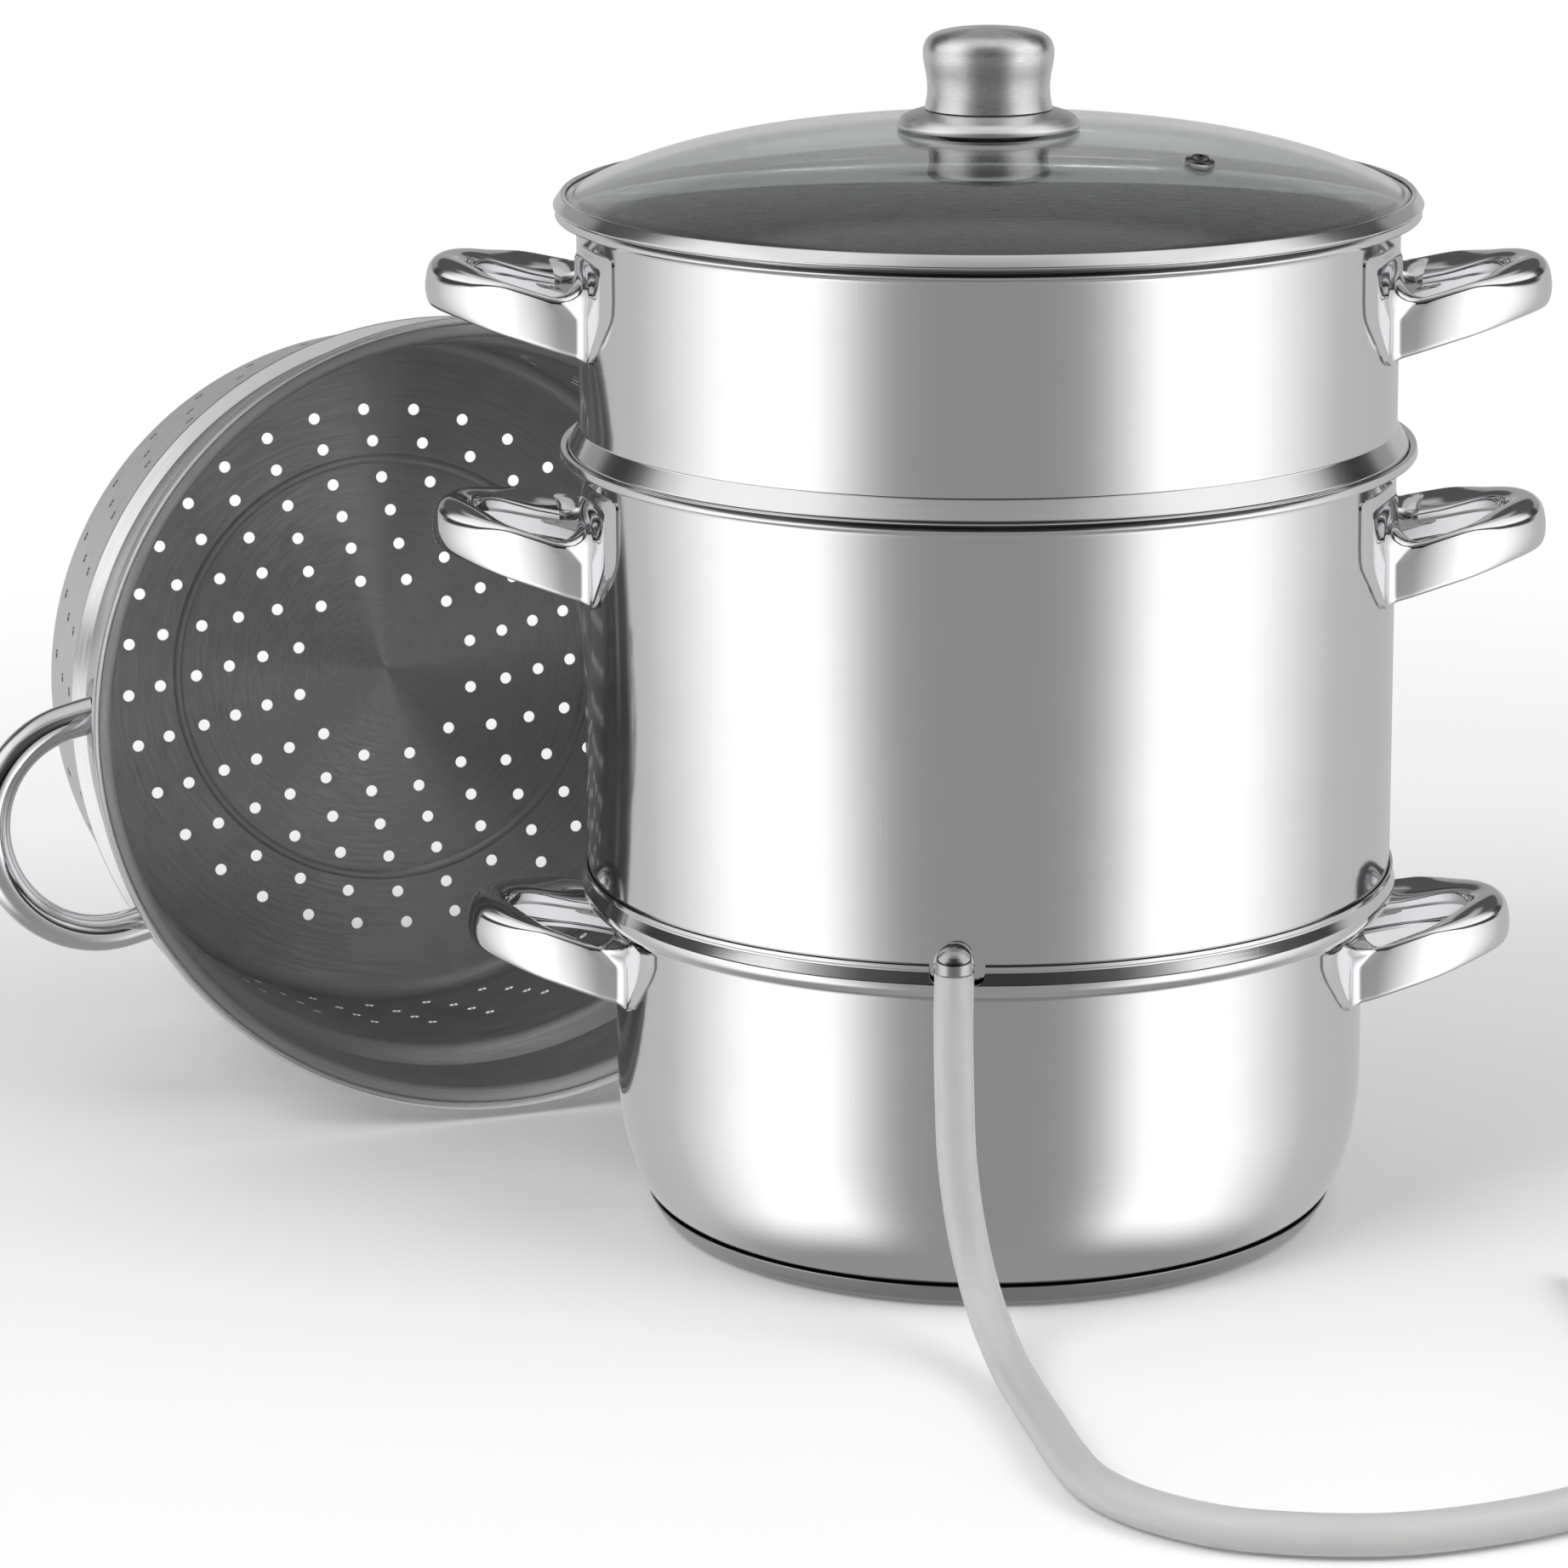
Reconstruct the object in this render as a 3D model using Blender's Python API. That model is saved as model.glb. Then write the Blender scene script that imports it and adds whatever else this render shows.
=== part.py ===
"""Stacked steam juicer: water pot, juice kettle with hose, steamer and glass lid, and a loose strainer.

The origin is the centre of the flat base. +X is to the right, -Y to the front, where the spout is.
"""

import math

import bmesh
import bpy
from mathutils import Matrix, Vector

# Shared sheet metal sizes
SHEET = 0.0008
GAP = 0.0003
OVERRUN = 0.004
BLEND = 0.0005

# Segments round turned pieces
ROUND = 36
SMALL_ROUND = 20
HOLE_ROUND = 12
CONE_ROUND = 24

# Vessel walls: the other radii follow the wall of the two upper tiers
TIER_RADIUS = 0.130
POT_INSET = 0.0085
NEST_INSET = 0.006
POT_RADIUS = TIER_RADIUS - POT_INSET
NEST_RADIUS = TIER_RADIUS - NEST_INSET

# Heights above the surface that the pot stands on
POT_TOP = 0.117
KETTLE_RISE = 0.1375
STEAMER_RISE = 0.0757
KETTLE_TOP = POT_TOP + KETTLE_RISE
STEAMER_TOP = KETTLE_TOP + STEAMER_RISE

# Water pot
POT_FLOOR = 0.0055
POT_CORNER_WIDTH = 0.016
POT_CORNER_HEIGHT = 0.044
COLLAR_HEIGHT = 0.016
COLLAR_CURVE_WIDTH = 0.0088
COLLAR_CURVE_HEIGHT = 0.010
NOTCH_WIDTH = 0.0172
NOTCH_DEPTH = 0.0045
BASE_CAP_INSET = 0.0093
BASE_FACE_INSET = 0.0077
BASE_CORE_INSET = 0.0035
BASE_CAP_RADIUS = POT_RADIUS - BASE_CAP_INSET
BASE_FACE_RADIUS = BASE_CAP_RADIUS - BASE_FACE_INSET
BASE_CORE_RADIUS = BASE_FACE_RADIUS - BASE_CORE_INSET
BASE_CURVE_SHARES = (0.6, 0.3)
POT_CORNER_STEPS = 5
COLLAR_STEPS = 3

# Rolled rims of the kettle, the steamer and the strainer
RIM_REACH = 0.0067
RIM_RADIUS = TIER_RADIUS + RIM_REACH
ROLL_RADIUS = 0.0014
FLANGE_HEIGHT = 0.008
FLANGE_SHARES = ((0.0, 0.0), (0.25, 0.72))
ROLL_ANGLES = (-90, -15, 75)

# Bead that a nested tier hangs on: shares of its width beyond the nest wall, and of its height
BEAD_REACH = 0.0039
BEAD_RADIUS = TIER_RADIUS + BEAD_REACH
BEAD_HEIGHT = 0.016
BEAD_SHARES = ((0.0, 0.0), (0.20, 0.22), (0.88, 0.34), (1.0, 0.58), (0.80, 0.82))
BEAD_SEAT_SHARE = 0.34

# Steam cone in the kettle floor
CONE_FOOT_RADIUS = 0.056
CONE_FLANGE = 0.006
CONE_RADIUS = CONE_FOOT_RADIUS - CONE_FLANGE
CONE_MOUTH_RADIUS = 0.023
CONE_HEIGHT = 0.057
CONE_HOLE_INSET = 0.006
CONE_HOLE_RADIUS = CONE_RADIUS - CONE_HOLE_INSET
CONE_SHARES = ((1.0, 0.0), (0.85, 0.14), (0.13, 0.86), (0.0, 1.0))

# Perforated floors and walls: each ring of holes is a share of the floor's radius and a count
FLOOR_CORNER = 0.006
FLOOR_CORNER_ANGLES = (45, 90)
HOLE_SIDE = 0.0036
HOLE_CELL = 0.009
STEAMER_NEST_DEPTH = 0.0863
STEAMER_DEPTH = STEAMER_RISE + STEAMER_NEST_DEPTH
STEAMER_RINGS = ((0.274, 12), (0.476, 16), (0.677, 20))
STRAINER_DEPTH = 0.152
STRAINER_WALL = 0.061
STRAINER_NEST_DEPTH = STRAINER_DEPTH - STRAINER_WALL
STRAINER_RINGS = ((0.274, 12), (0.375, 16), (0.472, 20), (0.569, 24), (0.673, 28), (0.770, 32))
WALL_HOLE_ROWS = 3
WALL_HOLE_START = 0.020
WALL_HOLE_PITCH = 0.0165

# Pressed strap handles
STRAP_REACH = 0.0485
STRAP_SPREAD = 0.0335
STRAP_WIDTH = 0.012
STRAP_HEIGHT = 0.0176
STRAP_LIP = 0.0076
STRAP_SHEET = 0.0015
STRAP_RISE = 0.0108
STRAP_RISE_POWER = 1.45
STRAP_LEG_POWER = 1.29
STRAP_STEPS = 14
POT_STRAP_DROP = 0.0226
KETTLE_STRAP_DROP = 0.0285
STEAMER_STRAP_DROP = 0.0267
POT_STRAP_TOP = POT_TOP - POT_STRAP_DROP
KETTLE_STRAP_TOP = KETTLE_TOP - KETTLE_STRAP_DROP
STEAMER_STRAP_TOP = STEAMER_TOP - STEAMER_STRAP_DROP
WING_SPREAD = 0.0615
WING_INNER = 0.024
WING_FOOT_SHARES = (0.40, 0.74, 0.93, 1.0, 1.0, 0.7)

# Spout and hose
SPOUT_ANGLE = math.radians(-4.2)
SPOUT_RISE = 0.004
SPOUT_STANDOFF = 0.0115
SPOUT_HEIGHT = POT_TOP + SPOUT_RISE
SPOUT_REACH = TIER_RADIUS + SPOUT_STANDOFF
SPOUT_RADIUS = 0.00625
SPOUT_STUB_RADIUS = 0.0038
SPOUT_STUB_RISE = 0.0016
SPOUT_BORE = 0.0028
SPOUT_DROP = 0.0025
SPOUT_COLLAR_RADIUS = 0.0072
SPOUT_COLLAR_THICKNESS = 0.0012
SPOUT_INSIDE = 0.002
SPOUT_DOME_ANGLES = (30, 60)
HOSE_RADIUS = 0.006
HOSE_STEP_SHARE = 2.0
ROUTE_PIECES = 20
HOSE_ROUTE = (
    (-0.0106, -0.1413, 0.100),
    (-0.0103, -0.1425, 0.080),
    (-0.0095, -0.1440, 0.060),
    (-0.0066, -0.1475, 0.0385),
    (-0.0016, -0.1580, 0.0205),
    (0.0050, -0.1780, 0.0095),
    (0.0110, -0.2010, 0.0066),
    (0.0165, -0.2240, 0.0062),
    (0.0225, -0.2500, 0.0062),
    (0.0310, -0.2735, 0.0062),
    (0.0480, -0.2930, 0.0062),
    (0.0747, -0.3062, 0.0062),
    (0.1163, -0.3078, 0.0062),
    (0.1590, -0.2915, 0.0062),
    (0.1840, -0.2700, 0.0066),
    (0.1985, -0.2440, 0.0074),
    (0.2035, -0.2150, 0.0076),
    (0.2035, -0.1900, 0.0076),
    (0.2015, -0.1650, 0.0072),
    (0.1960, -0.1400, 0.0066),
    (0.1900, -0.1130, 0.0062),
    (0.1870, -0.0850, 0.0062),
)

# Hose clamp
CLAMP_SPOT = (0.2035, -0.2025)
CLAMP_SHEET = 0.001
CLAMP_WIDTH = 0.012
CLAMP_FLOOR_GAP = 0.0003
CLAMP_NOSE = 0.0085
CLAMP_PIN_OFFSET = 0.0105
CLAMP_PIN_RADIUS = 0.0012
CLAMP_EAR = 0.0052
CLAMP_EAR_SHARE = 2.2
CLAMP_TAIL = 0.034
CLAMP_TAIL_LIFT = 0.008
CLAMP_HOSE_HEIGHT = CLAMP_FLOOR_GAP + CLAMP_SHEET + GAP + HOSE_RADIUS
SPRING_SHEET = 0.0005
SPRING_WIDTH = 0.007
SPRING_ROOT = 0.015
SPRING_BEND = 0.0305
SPRING_TIP = 0.020
SPRING_BEND_SHARE = 2.2

# Lid
GLASS_INSET = 0.0027
GLASS_RADIUS = RIM_RADIUS - GLASS_INSET
GLASS_THICKNESS = 0.0035
CROWN_RISE = 0.0238
GLASS_CROWN = STEAMER_TOP + CROWN_RISE
GLASS_BOW = 0.0142
GLASS_DROOP = 0.0068
GLASS_MID_SHARES = (0.55, 0.5)
BAND_PROUD = 0.0005
BAND_GRIP = 0.0007
SLEEVE_INSET = 0.0012
BAND_RADIUS = RIM_RADIUS + BAND_PROUD
BAND_INNER = GLASS_RADIUS - BAND_GRIP
BAND_SLEEVE = TIER_RADIUS - SLEEVE_INSET
BAND_SHEET = 0.0007
BAND_LIP = 0.0011
BAND_SKIRT = 0.004
BAND_WEB = 0.0005
BAND_CROWN_SHARES = (0.7, 4.0)
BOLT_RADIUS = 0.0020
BOLT_HOLE = 0.0023
GLASS_HOLE = 0.0042
VENT_SPOT_RADIUS = 0.0803
VENT_SPOT_ANGLE = math.radians(-36.3)
VENT_FLANGE = 0.00475
VENT_TUBE = 0.0028
VENT_BORE = 0.0016
VENT_HOLE = 0.0032
VENT_SHEET = 0.0008
VENT_COLLAR = 0.0022
VENT_EDGE_SHARES = (0.85, 0.9)

# Knob and its screw: each share is of a radius, then of a height
GASKET_RADIUS = 0.0252
GASKET_THICKNESS = 0.0008
SKIRT_RADIUS = 0.0290
SKIRT_HEIGHT = 0.0044
CAP_RADIUS = 0.02065
CAP_HEIGHT = 0.0251
CAP_SHARES = (
    (0.973, 0.0),
    (0.952, 0.12),
    (0.935, 0.28),
    (0.965, 0.50),
    (1.0, 0.70),
    (0.975, 0.82),
    (0.86, 0.93),
    (0.60, 0.985),
)
SKIRT_SHARES = ((1.0, 0.32), (0.93, 0.50), (0.74, 0.86), (0.69, 1.0))
BOLT_REACH = 0.011
WASHER_RADIUS = 0.019
WASHER_THICKNESS = 0.0018
WASHER_SHARES = ((0.8, 0.0), (1.0, 0.5), (1.0, 0.75), (0.9, 1.0))
BOLT_HEAD_RADIUS = 0.0055
BOLT_HEAD_HEIGHT = 0.0024
BOLT_HEAD_SHARES = ((0.7, 1.0), (1.0, 0.4), (1.0, 0.0))

# Loose strainer
STRAINER_PLACE_SHARES = (-1.308, 0.754)
STRAINER_YAW = math.radians(20)
STRAINER_ROLL = math.radians(13)
TUBE_RADIUS = 0.0062
TUBE_BORE = 0.0048
TUBE_REACH = 0.041
TUBE_SPREAD = 0.037
TUBE_STRAIGHT = 0.008
TUBE_STEPS = 10
TUBE_ROUND = 8
BRACKET_LONG = 0.024
BRACKET_WIDE = 0.016
BRACKET_SHEET = 0.0015
BRACKET_DROP = 0.031
BRACKET_COLUMN_SHARES = (-0.97, -0.65, 0.0, 0.65, 0.97)

POLISHED = ((0.72, 0.72, 0.73), 0.12, 1.0)
SATIN = ((0.55, 0.55, 0.56), 0.35, 1.0)
BRUSHED = ((0.42, 0.42, 0.43), 0.45, 1.0)
GLASS = ((0.62, 0.66, 0.66), 0.05, 0.0)
SILICONE = ((0.90, 0.90, 0.88), 0.40, 0.0)


def clear_scene():
    for thing in list(bpy.data.objects):
        bpy.data.objects.remove(thing, do_unlink=True)


def material(name, look):
    colour, roughness, metallic = look
    made = bpy.data.materials.new(name)
    made.use_nodes = True
    shader = made.node_tree.nodes["Principled BSDF"]
    shader.inputs["Base Color"].default_value = (*colour, 1.0)
    shader.inputs["Roughness"].default_value = roughness
    shader.inputs["Metallic"].default_value = metallic
    return made


def place(name, data, look, parent=None):
    """An object with its own material, in the scene."""
    thing = bpy.data.objects.new(name, data)
    data.materials.clear()
    data.materials.append(material(name, look))
    bpy.context.scene.collection.objects.link(thing)
    thing.parent = parent
    return thing


def mesh_from(shape, name):
    """A mesh with smooth round faces from a bmesh, which it frees."""
    data = bpy.data.meshes.new(name)
    shape.to_mesh(data)
    shape.free()
    data.shade_smooth()
    data.set_sharp_from_angle(angle=math.radians(35))
    return data


def anchor(name, matrix, parent=None):
    thing = bpy.data.objects.new(name, None)
    bpy.context.scene.collection.objects.link(thing)
    thing.parent = parent
    thing.matrix_world = matrix
    return thing


def cutter(name, data, matrix=None):
    """A hidden object that only cuts or joins others."""
    thing = bpy.data.objects.new(name, data)
    bpy.context.scene.collection.objects.link(thing)
    thing.hide_render = True
    thing.display_type = "WIRE"
    if matrix is not None:
        thing.matrix_world = matrix
    return thing


def boolean(thing, other, operation):
    step = thing.modifiers.new(operation.lower(), "BOOLEAN")
    step.operation = operation
    step.solver = "EXACT"
    step.object = other


def baked(name, body, changes):
    """The mesh of a body after a list of (mesh, matrix, operation), so that copies can share it."""
    main = cutter(name + "_body", body)
    others = []
    for index, (data, matrix, operation) in enumerate(changes):
        other = cutter(f"{name}_step_{index}", data, matrix)
        boolean(main, other, operation)
        others.append(other)
    graph = bpy.context.evaluated_depsgraph_get()
    graph.update()
    result = bpy.data.meshes.new_from_object(main.evaluated_get(graph))
    for thing in [main, *others]:
        bpy.data.objects.remove(thing, do_unlink=True)
    result.shade_smooth()
    result.set_sharp_from_angle(angle=math.radians(35))
    return result


def ring(shape, radius, height, count, start=0.0):
    """Corners of a level ring, or its one centre point."""
    if radius == 0:
        return [shape.verts.new((0, 0, height))]
    corners = []
    for index in range(count):
        angle = start + math.tau * index / count
        corners.append(shape.verts.new((radius * math.cos(angle), radius * math.sin(angle), height)))
    return corners


def skin(shape, lower, upper):
    """Faces between two rings, with normals out when the second lies farther along the outer line."""
    count = max(len(lower), len(upper))
    for index in range(count):
        after = (index + 1) % count
        if len(lower) == 1:
            shape.faces.new((lower[0], upper[after], upper[index]))
        elif len(upper) == 1:
            shape.faces.new((lower[index], lower[after], upper[0]))
        else:
            shape.faces.new((lower[index], lower[after], upper[after], upper[index]))


def zip_rings(shape, inner, outer):
    """Triangles between two rings of unlike counts."""
    here, there = 0, 0
    while here < len(inner) or there < len(outer):
        next_here = (here + 1) / len(inner)
        next_there = (there + 1) / len(outer)
        near = inner[here % len(inner)]
        far = outer[there % len(outer)]
        if next_there <= next_here:
            shape.faces.new((near, outer[(there + 1) % len(outer)], far))
            there += 1
        else:
            shape.faces.new((near, inner[(here + 1) % len(inner)], far))
            here += 1


def turned(name, loop, count=ROUND):
    """A closed solid from a closed loop of (radius, height) corners."""
    shape = bmesh.new()
    rings = [ring(shape, radius, height, count) for radius, height in loop]
    for lower, upper in zip(rings, rings[1:] + rings[:1], strict=True):
        if len(lower) > 1 or len(upper) > 1:
            skin(shape, lower, upper)
    bmesh.ops.recalc_face_normals(shape, faces=shape.faces)
    return mesh_from(shape, name)


def sheet(name, line, look, parent=None, count=ROUND):
    """A turned sheet whose outer surface follows a line of (radius, height), floor centre to rim."""
    shape = bmesh.new()
    rings = [ring(shape, radius, height, count) for radius, height in line]
    for lower, upper in zip(rings, rings[1:], strict=False):
        skin(shape, lower, upper)
    thing = place(name, mesh_from(shape, name), look, parent)
    thicken(thing)
    return thing


def thicken(thing):
    step = thing.modifiers.new("sheet", "SOLIDIFY")
    step.thickness = SHEET
    step.offset = -1
    step.use_even_offset = True


def holed_band(shape, lower, upper, holes):
    """Cells between two rings of one count, each with a square hole where holes(index) says so."""
    count = len(lower)
    for index in range(count):
        after = (index + 1) % count
        cell = (lower[index], lower[after], upper[after], upper[index])
        if not holes(index):
            shape.faces.new(cell)
            continue
        middle = sum((corner.co for corner in cell), Vector()) / len(cell)
        across = (cell[1].co - cell[0].co).normalized()
        along = (cell[3].co - cell[0].co + cell[2].co - cell[1].co).normalized()
        half = HOLE_SIDE / 2
        edge = []
        for side, rise in ((-1, -1), (1, -1), (1, 1), (-1, 1)):
            edge.append(shape.verts.new(middle + across * side * half + along * rise * half))
        for corner in range(len(cell)):
            following = (corner + 1) % len(cell)
            shape.faces.new((cell[corner], cell[following], edge[following], edge[corner]))


def perforated_floor(shape, rings):
    """A flat floor at height zero with rings of holes. Returns its last ring of corners."""
    last = None
    for share, count in rings:
        radius = share * NEST_RADIUS
        start = -math.pi / count
        inner = ring(shape, radius - HOLE_CELL / 2, 0, count, start)
        outer = ring(shape, radius + HOLE_CELL / 2, 0, count, start)
        if last is None:
            skin(shape, ring(shape, 0, 0, count), inner)
        else:
            zip_rings(shape, last, inner)
        holed_band(shape, inner, outer, lambda index: True)
        last = outer
    return last


def perforated_vessel(name, rings, rows, line, look, parent=None):
    """A vessel sheet whose floor, and wall if rows says so, is perforated. Its floor is at height zero."""
    shape = bmesh.new()
    last = perforated_floor(shape, rings)
    corner = ring(shape, NEST_RADIUS - FLOOR_CORNER, 0, ROUND)
    zip_rings(shape, last, corner)
    last = corner
    for turn in FLOOR_CORNER_ANGLES:
        angle = math.radians(turn)
        radius = NEST_RADIUS - FLOOR_CORNER + FLOOR_CORNER * math.sin(angle)
        following = ring(shape, radius, FLOOR_CORNER - FLOOR_CORNER * math.cos(angle), ROUND)
        skin(shape, last, following)
        last = following
    if rows:
        first = ring(shape, NEST_RADIUS, WALL_HOLE_START - WALL_HOLE_PITCH / 2, ROUND)
        skin(shape, last, first)
        last = first
    for row in range(rows):
        following = ring(shape, NEST_RADIUS, WALL_HOLE_START + (row + 0.5) * WALL_HOLE_PITCH, ROUND)
        holed_band(shape, last, following, lambda index, row=row: (index + row) % 2 == 0)
        last = following
    for radius, height in line:
        following = ring(shape, radius, height, ROUND)
        skin(shape, last, following)
        last = following
    thing = place(name, mesh_from(shape, name), look, parent)
    thicken(thing)
    return thing


def rim_line(top):
    """The flange and rolled edge of a vessel, wall to roll."""
    width = RIM_RADIUS - ROLL_RADIUS - TIER_RADIUS
    rise = FLANGE_HEIGHT - 2 * ROLL_RADIUS
    line = []
    for out, up in FLANGE_SHARES:
        line.append((TIER_RADIUS + out * width, top - FLANGE_HEIGHT + up * rise))
    for turn in ROLL_ANGLES:
        angle = math.radians(turn)
        line.append((
            TIER_RADIUS + width + ROLL_RADIUS * math.cos(angle),
            top - ROLL_RADIUS + ROLL_RADIUS * math.sin(angle),
        ))
    return line


def bead_line(foot):
    """The bead between the narrow nested wall and the full wall, from the height of its foot."""
    line = []
    for out, up in BEAD_SHARES:
        line.append((NEST_RADIUS + out * (BEAD_RADIUS - NEST_RADIUS), foot + up * BEAD_HEIGHT))
    line.append((TIER_RADIUS, foot + BEAD_HEIGHT))
    return line


def pot_corner_height(radius):
    """Outer height of the pot's rounded lower corner at a radius."""
    out = 1 - (POT_RADIUS - radius) / POT_CORNER_WIDTH
    return POT_FLOOR + POT_CORNER_HEIGHT * (1 - math.sqrt(1 - out * out))


def quarter(steps):
    return [math.pi / 2 * index / steps for index in range(steps + 1)]


def water_pot():
    flat = POT_RADIUS - POT_CORNER_WIDTH
    line = [(0, POT_FLOOR)]
    for angle in quarter(POT_CORNER_STEPS):
        line.append((
            flat + POT_CORNER_WIDTH * math.sin(angle),
            POT_FLOOR + POT_CORNER_HEIGHT * (1 - math.cos(angle)),
        ))
    foot = POT_TOP - COLLAR_HEIGHT
    for angle in quarter(COLLAR_STEPS):
        line.append((
            POT_RADIUS + COLLAR_CURVE_WIDTH * math.sin(angle),
            foot + COLLAR_CURVE_HEIGHT * (1 - math.cos(angle)),
        ))
    line.append((TIER_RADIUS + GAP + SHEET, POT_TOP))
    shell = sheet("pot_shell", line, POLISHED)

    size = (NOTCH_WIDTH, OVERRUN * 4, NOTCH_DEPTH + OVERRUN)
    matrix = Matrix.Rotation(SPOUT_ANGLE, 4, "Z") @ Matrix.Translation(
        (0, -POT_RADIUS - COLLAR_CURVE_WIDTH, POT_TOP - NOTCH_DEPTH + size[2] / 2)
    )
    boolean(shell, cutter("notch_cutter", box_mesh("notch_cutter", size), matrix), "DIFFERENCE")

    core_top = POT_FLOOR - GAP
    core_foot = SHEET + GAP
    core = turned("pot_base_core", [
        (0, core_foot),
        (BASE_CORE_RADIUS, core_foot),
        (BASE_CORE_RADIUS, core_top),
        (0, core_top),
    ])
    place("pot_base_core", core, SATIN)

    lip = pot_corner_height(BASE_CAP_RADIUS - SHEET) - GAP
    out, up = BASE_CURVE_SHARES
    line = [
        (0, 0),
        (BASE_FACE_RADIUS, 0),
        (BASE_FACE_RADIUS + (BASE_CAP_RADIUS - BASE_FACE_RADIUS) * out, lip * up),
        (BASE_CAP_RADIUS, lip),
    ]
    sheet("pot_base_cap", line, BRUSHED)


def box_mesh(name, size):
    shape = bmesh.new()
    bmesh.ops.create_cube(shape, size=1.0)
    bmesh.ops.scale(shape, vec=size, verts=shape.verts)
    return mesh_from(shape, name)


def cylinder_mesh(name, radius, length):
    """A cylinder along Z, centred."""
    shape = bmesh.new()
    bmesh.ops.create_cone(
        shape, cap_ends=True, segments=HOLE_ROUND, radius1=radius, radius2=radius, depth=length
    )
    return mesh_from(shape, name)


def strap_path(wall_radius):
    """Points of a strap's centre line, from one weld to the other. It climbs outwards by STRAP_RISE."""
    reach = wall_radius + STRAP_REACH - STRAP_WIDTH / 2
    start = math.sqrt(wall_radius**2 - STRAP_SPREAD**2)
    points = []
    for index in range(STRAP_STEPS + 1):
        angle = -math.pi / 2 + math.pi * index / STRAP_STEPS
        share = max(math.cos(angle), 0) ** STRAP_LEG_POWER
        rise = STRAP_RISE * (1 - (1 - share) ** STRAP_RISE_POWER)
        points.append(Vector((start + share * (reach - start), math.sin(angle) * STRAP_SPREAD, rise)))
    return points


def strap_mesh(wall_radius, top):
    """The pressed strap: a channel, open below, whose ends lie in the wings."""
    half = STRAP_WIDTH / 2
    inside = half - STRAP_SHEET
    section = (
        (half, -STRAP_HEIGHT),
        (half, -STRAP_SHEET),
        (inside, 0),
        (-inside, 0),
        (-half, -STRAP_SHEET),
        (-half, -STRAP_LIP),
        (-inside, -STRAP_LIP),
        (-inside, -STRAP_SHEET),
        (inside, -STRAP_SHEET),
        (inside, -STRAP_HEIGHT),
    )
    weld = wall_radius + GAP + STRAP_SHEET / 2
    points = strap_path(wall_radius)
    shape = bmesh.new()
    stations = []
    for index, point in enumerate(points):
        before = points[max(index - 1, 0)]
        after = points[min(index + 1, len(points) - 1)]
        heading = (after - before).xy.normalized()
        outward = Vector((heading.y, -heading.x, 0))
        station = []
        for across, rise in section:
            corner = point + outward * across
            if index in (0, len(points) - 1):
                corner.x = math.sqrt(weld**2 - corner.y**2)
            station.append(shape.verts.new((corner.x, corner.y, top + corner.z + rise)))
        stations.append(station)
    for before, after in zip(stations, stations[1:], strict=False):
        skin(shape, before, after)
    shape.faces.new(stations[0])
    shape.faces.new(stations[-1])
    bmesh.ops.recalc_face_normals(shape, faces=shape.faces)
    return mesh_from(shape, "strap")


def curved_plate(name, near, thickness, columns):
    """A plate that hugs a round wall, from columns of (angle, lower height, upper height)."""
    far = near + thickness
    shape = bmesh.new()
    rows = []
    for angle, low, high in columns:
        corners = []
        for radius, height in ((near, low), (far, low), (far, high), (near, high)):
            corners.append(shape.verts.new((radius * math.cos(angle), radius * math.sin(angle), height)))
        rows.append(corners)
    for before, after in zip(rows, rows[1:], strict=False):
        skin(shape, before, after)
    shape.faces.new(rows[0])
    shape.faces.new(rows[-1])
    bmesh.ops.recalc_face_normals(shape, faces=shape.faces)
    return mesh_from(shape, name)


def wing_mesh(wall_radius, strap_top, wing_top, side):
    """The weld plate of one strap end: it hugs the wall and reaches up to the rim."""
    first = math.asin(WING_SPREAD / wall_radius)
    last = math.asin(WING_INNER / wall_radius)
    foot = strap_top - STRAP_HEIGHT
    columns = []
    for index, share in enumerate(WING_FOOT_SHARES):
        angle = side * (first + (last - first) * index / (len(WING_FOOT_SHARES) - 1))
        columns.append((angle, wing_top + (foot - wing_top) * share, wing_top))
    return curved_plate("wing", wall_radius + GAP, STRAP_SHEET, columns)


def strap_handles(tier, wall_radius, strap_top, wing_top, parent=None):
    """The left and right strap handles of a tier, which share their mesh."""
    wings = [
        (wing_mesh(wall_radius, strap_top, wing_top, side), Matrix(), "UNION") for side in (-1, 1)
    ]
    data = baked(f"{tier}_handle", strap_mesh(wall_radius, strap_top), wings)
    for side, turn in (("right", 0.0), ("left", math.pi)):
        thing = place(f"{tier}_handle_{side}", data.copy(), POLISHED, parent)
        thing.rotation_euler = (0, 0, turn)


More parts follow.
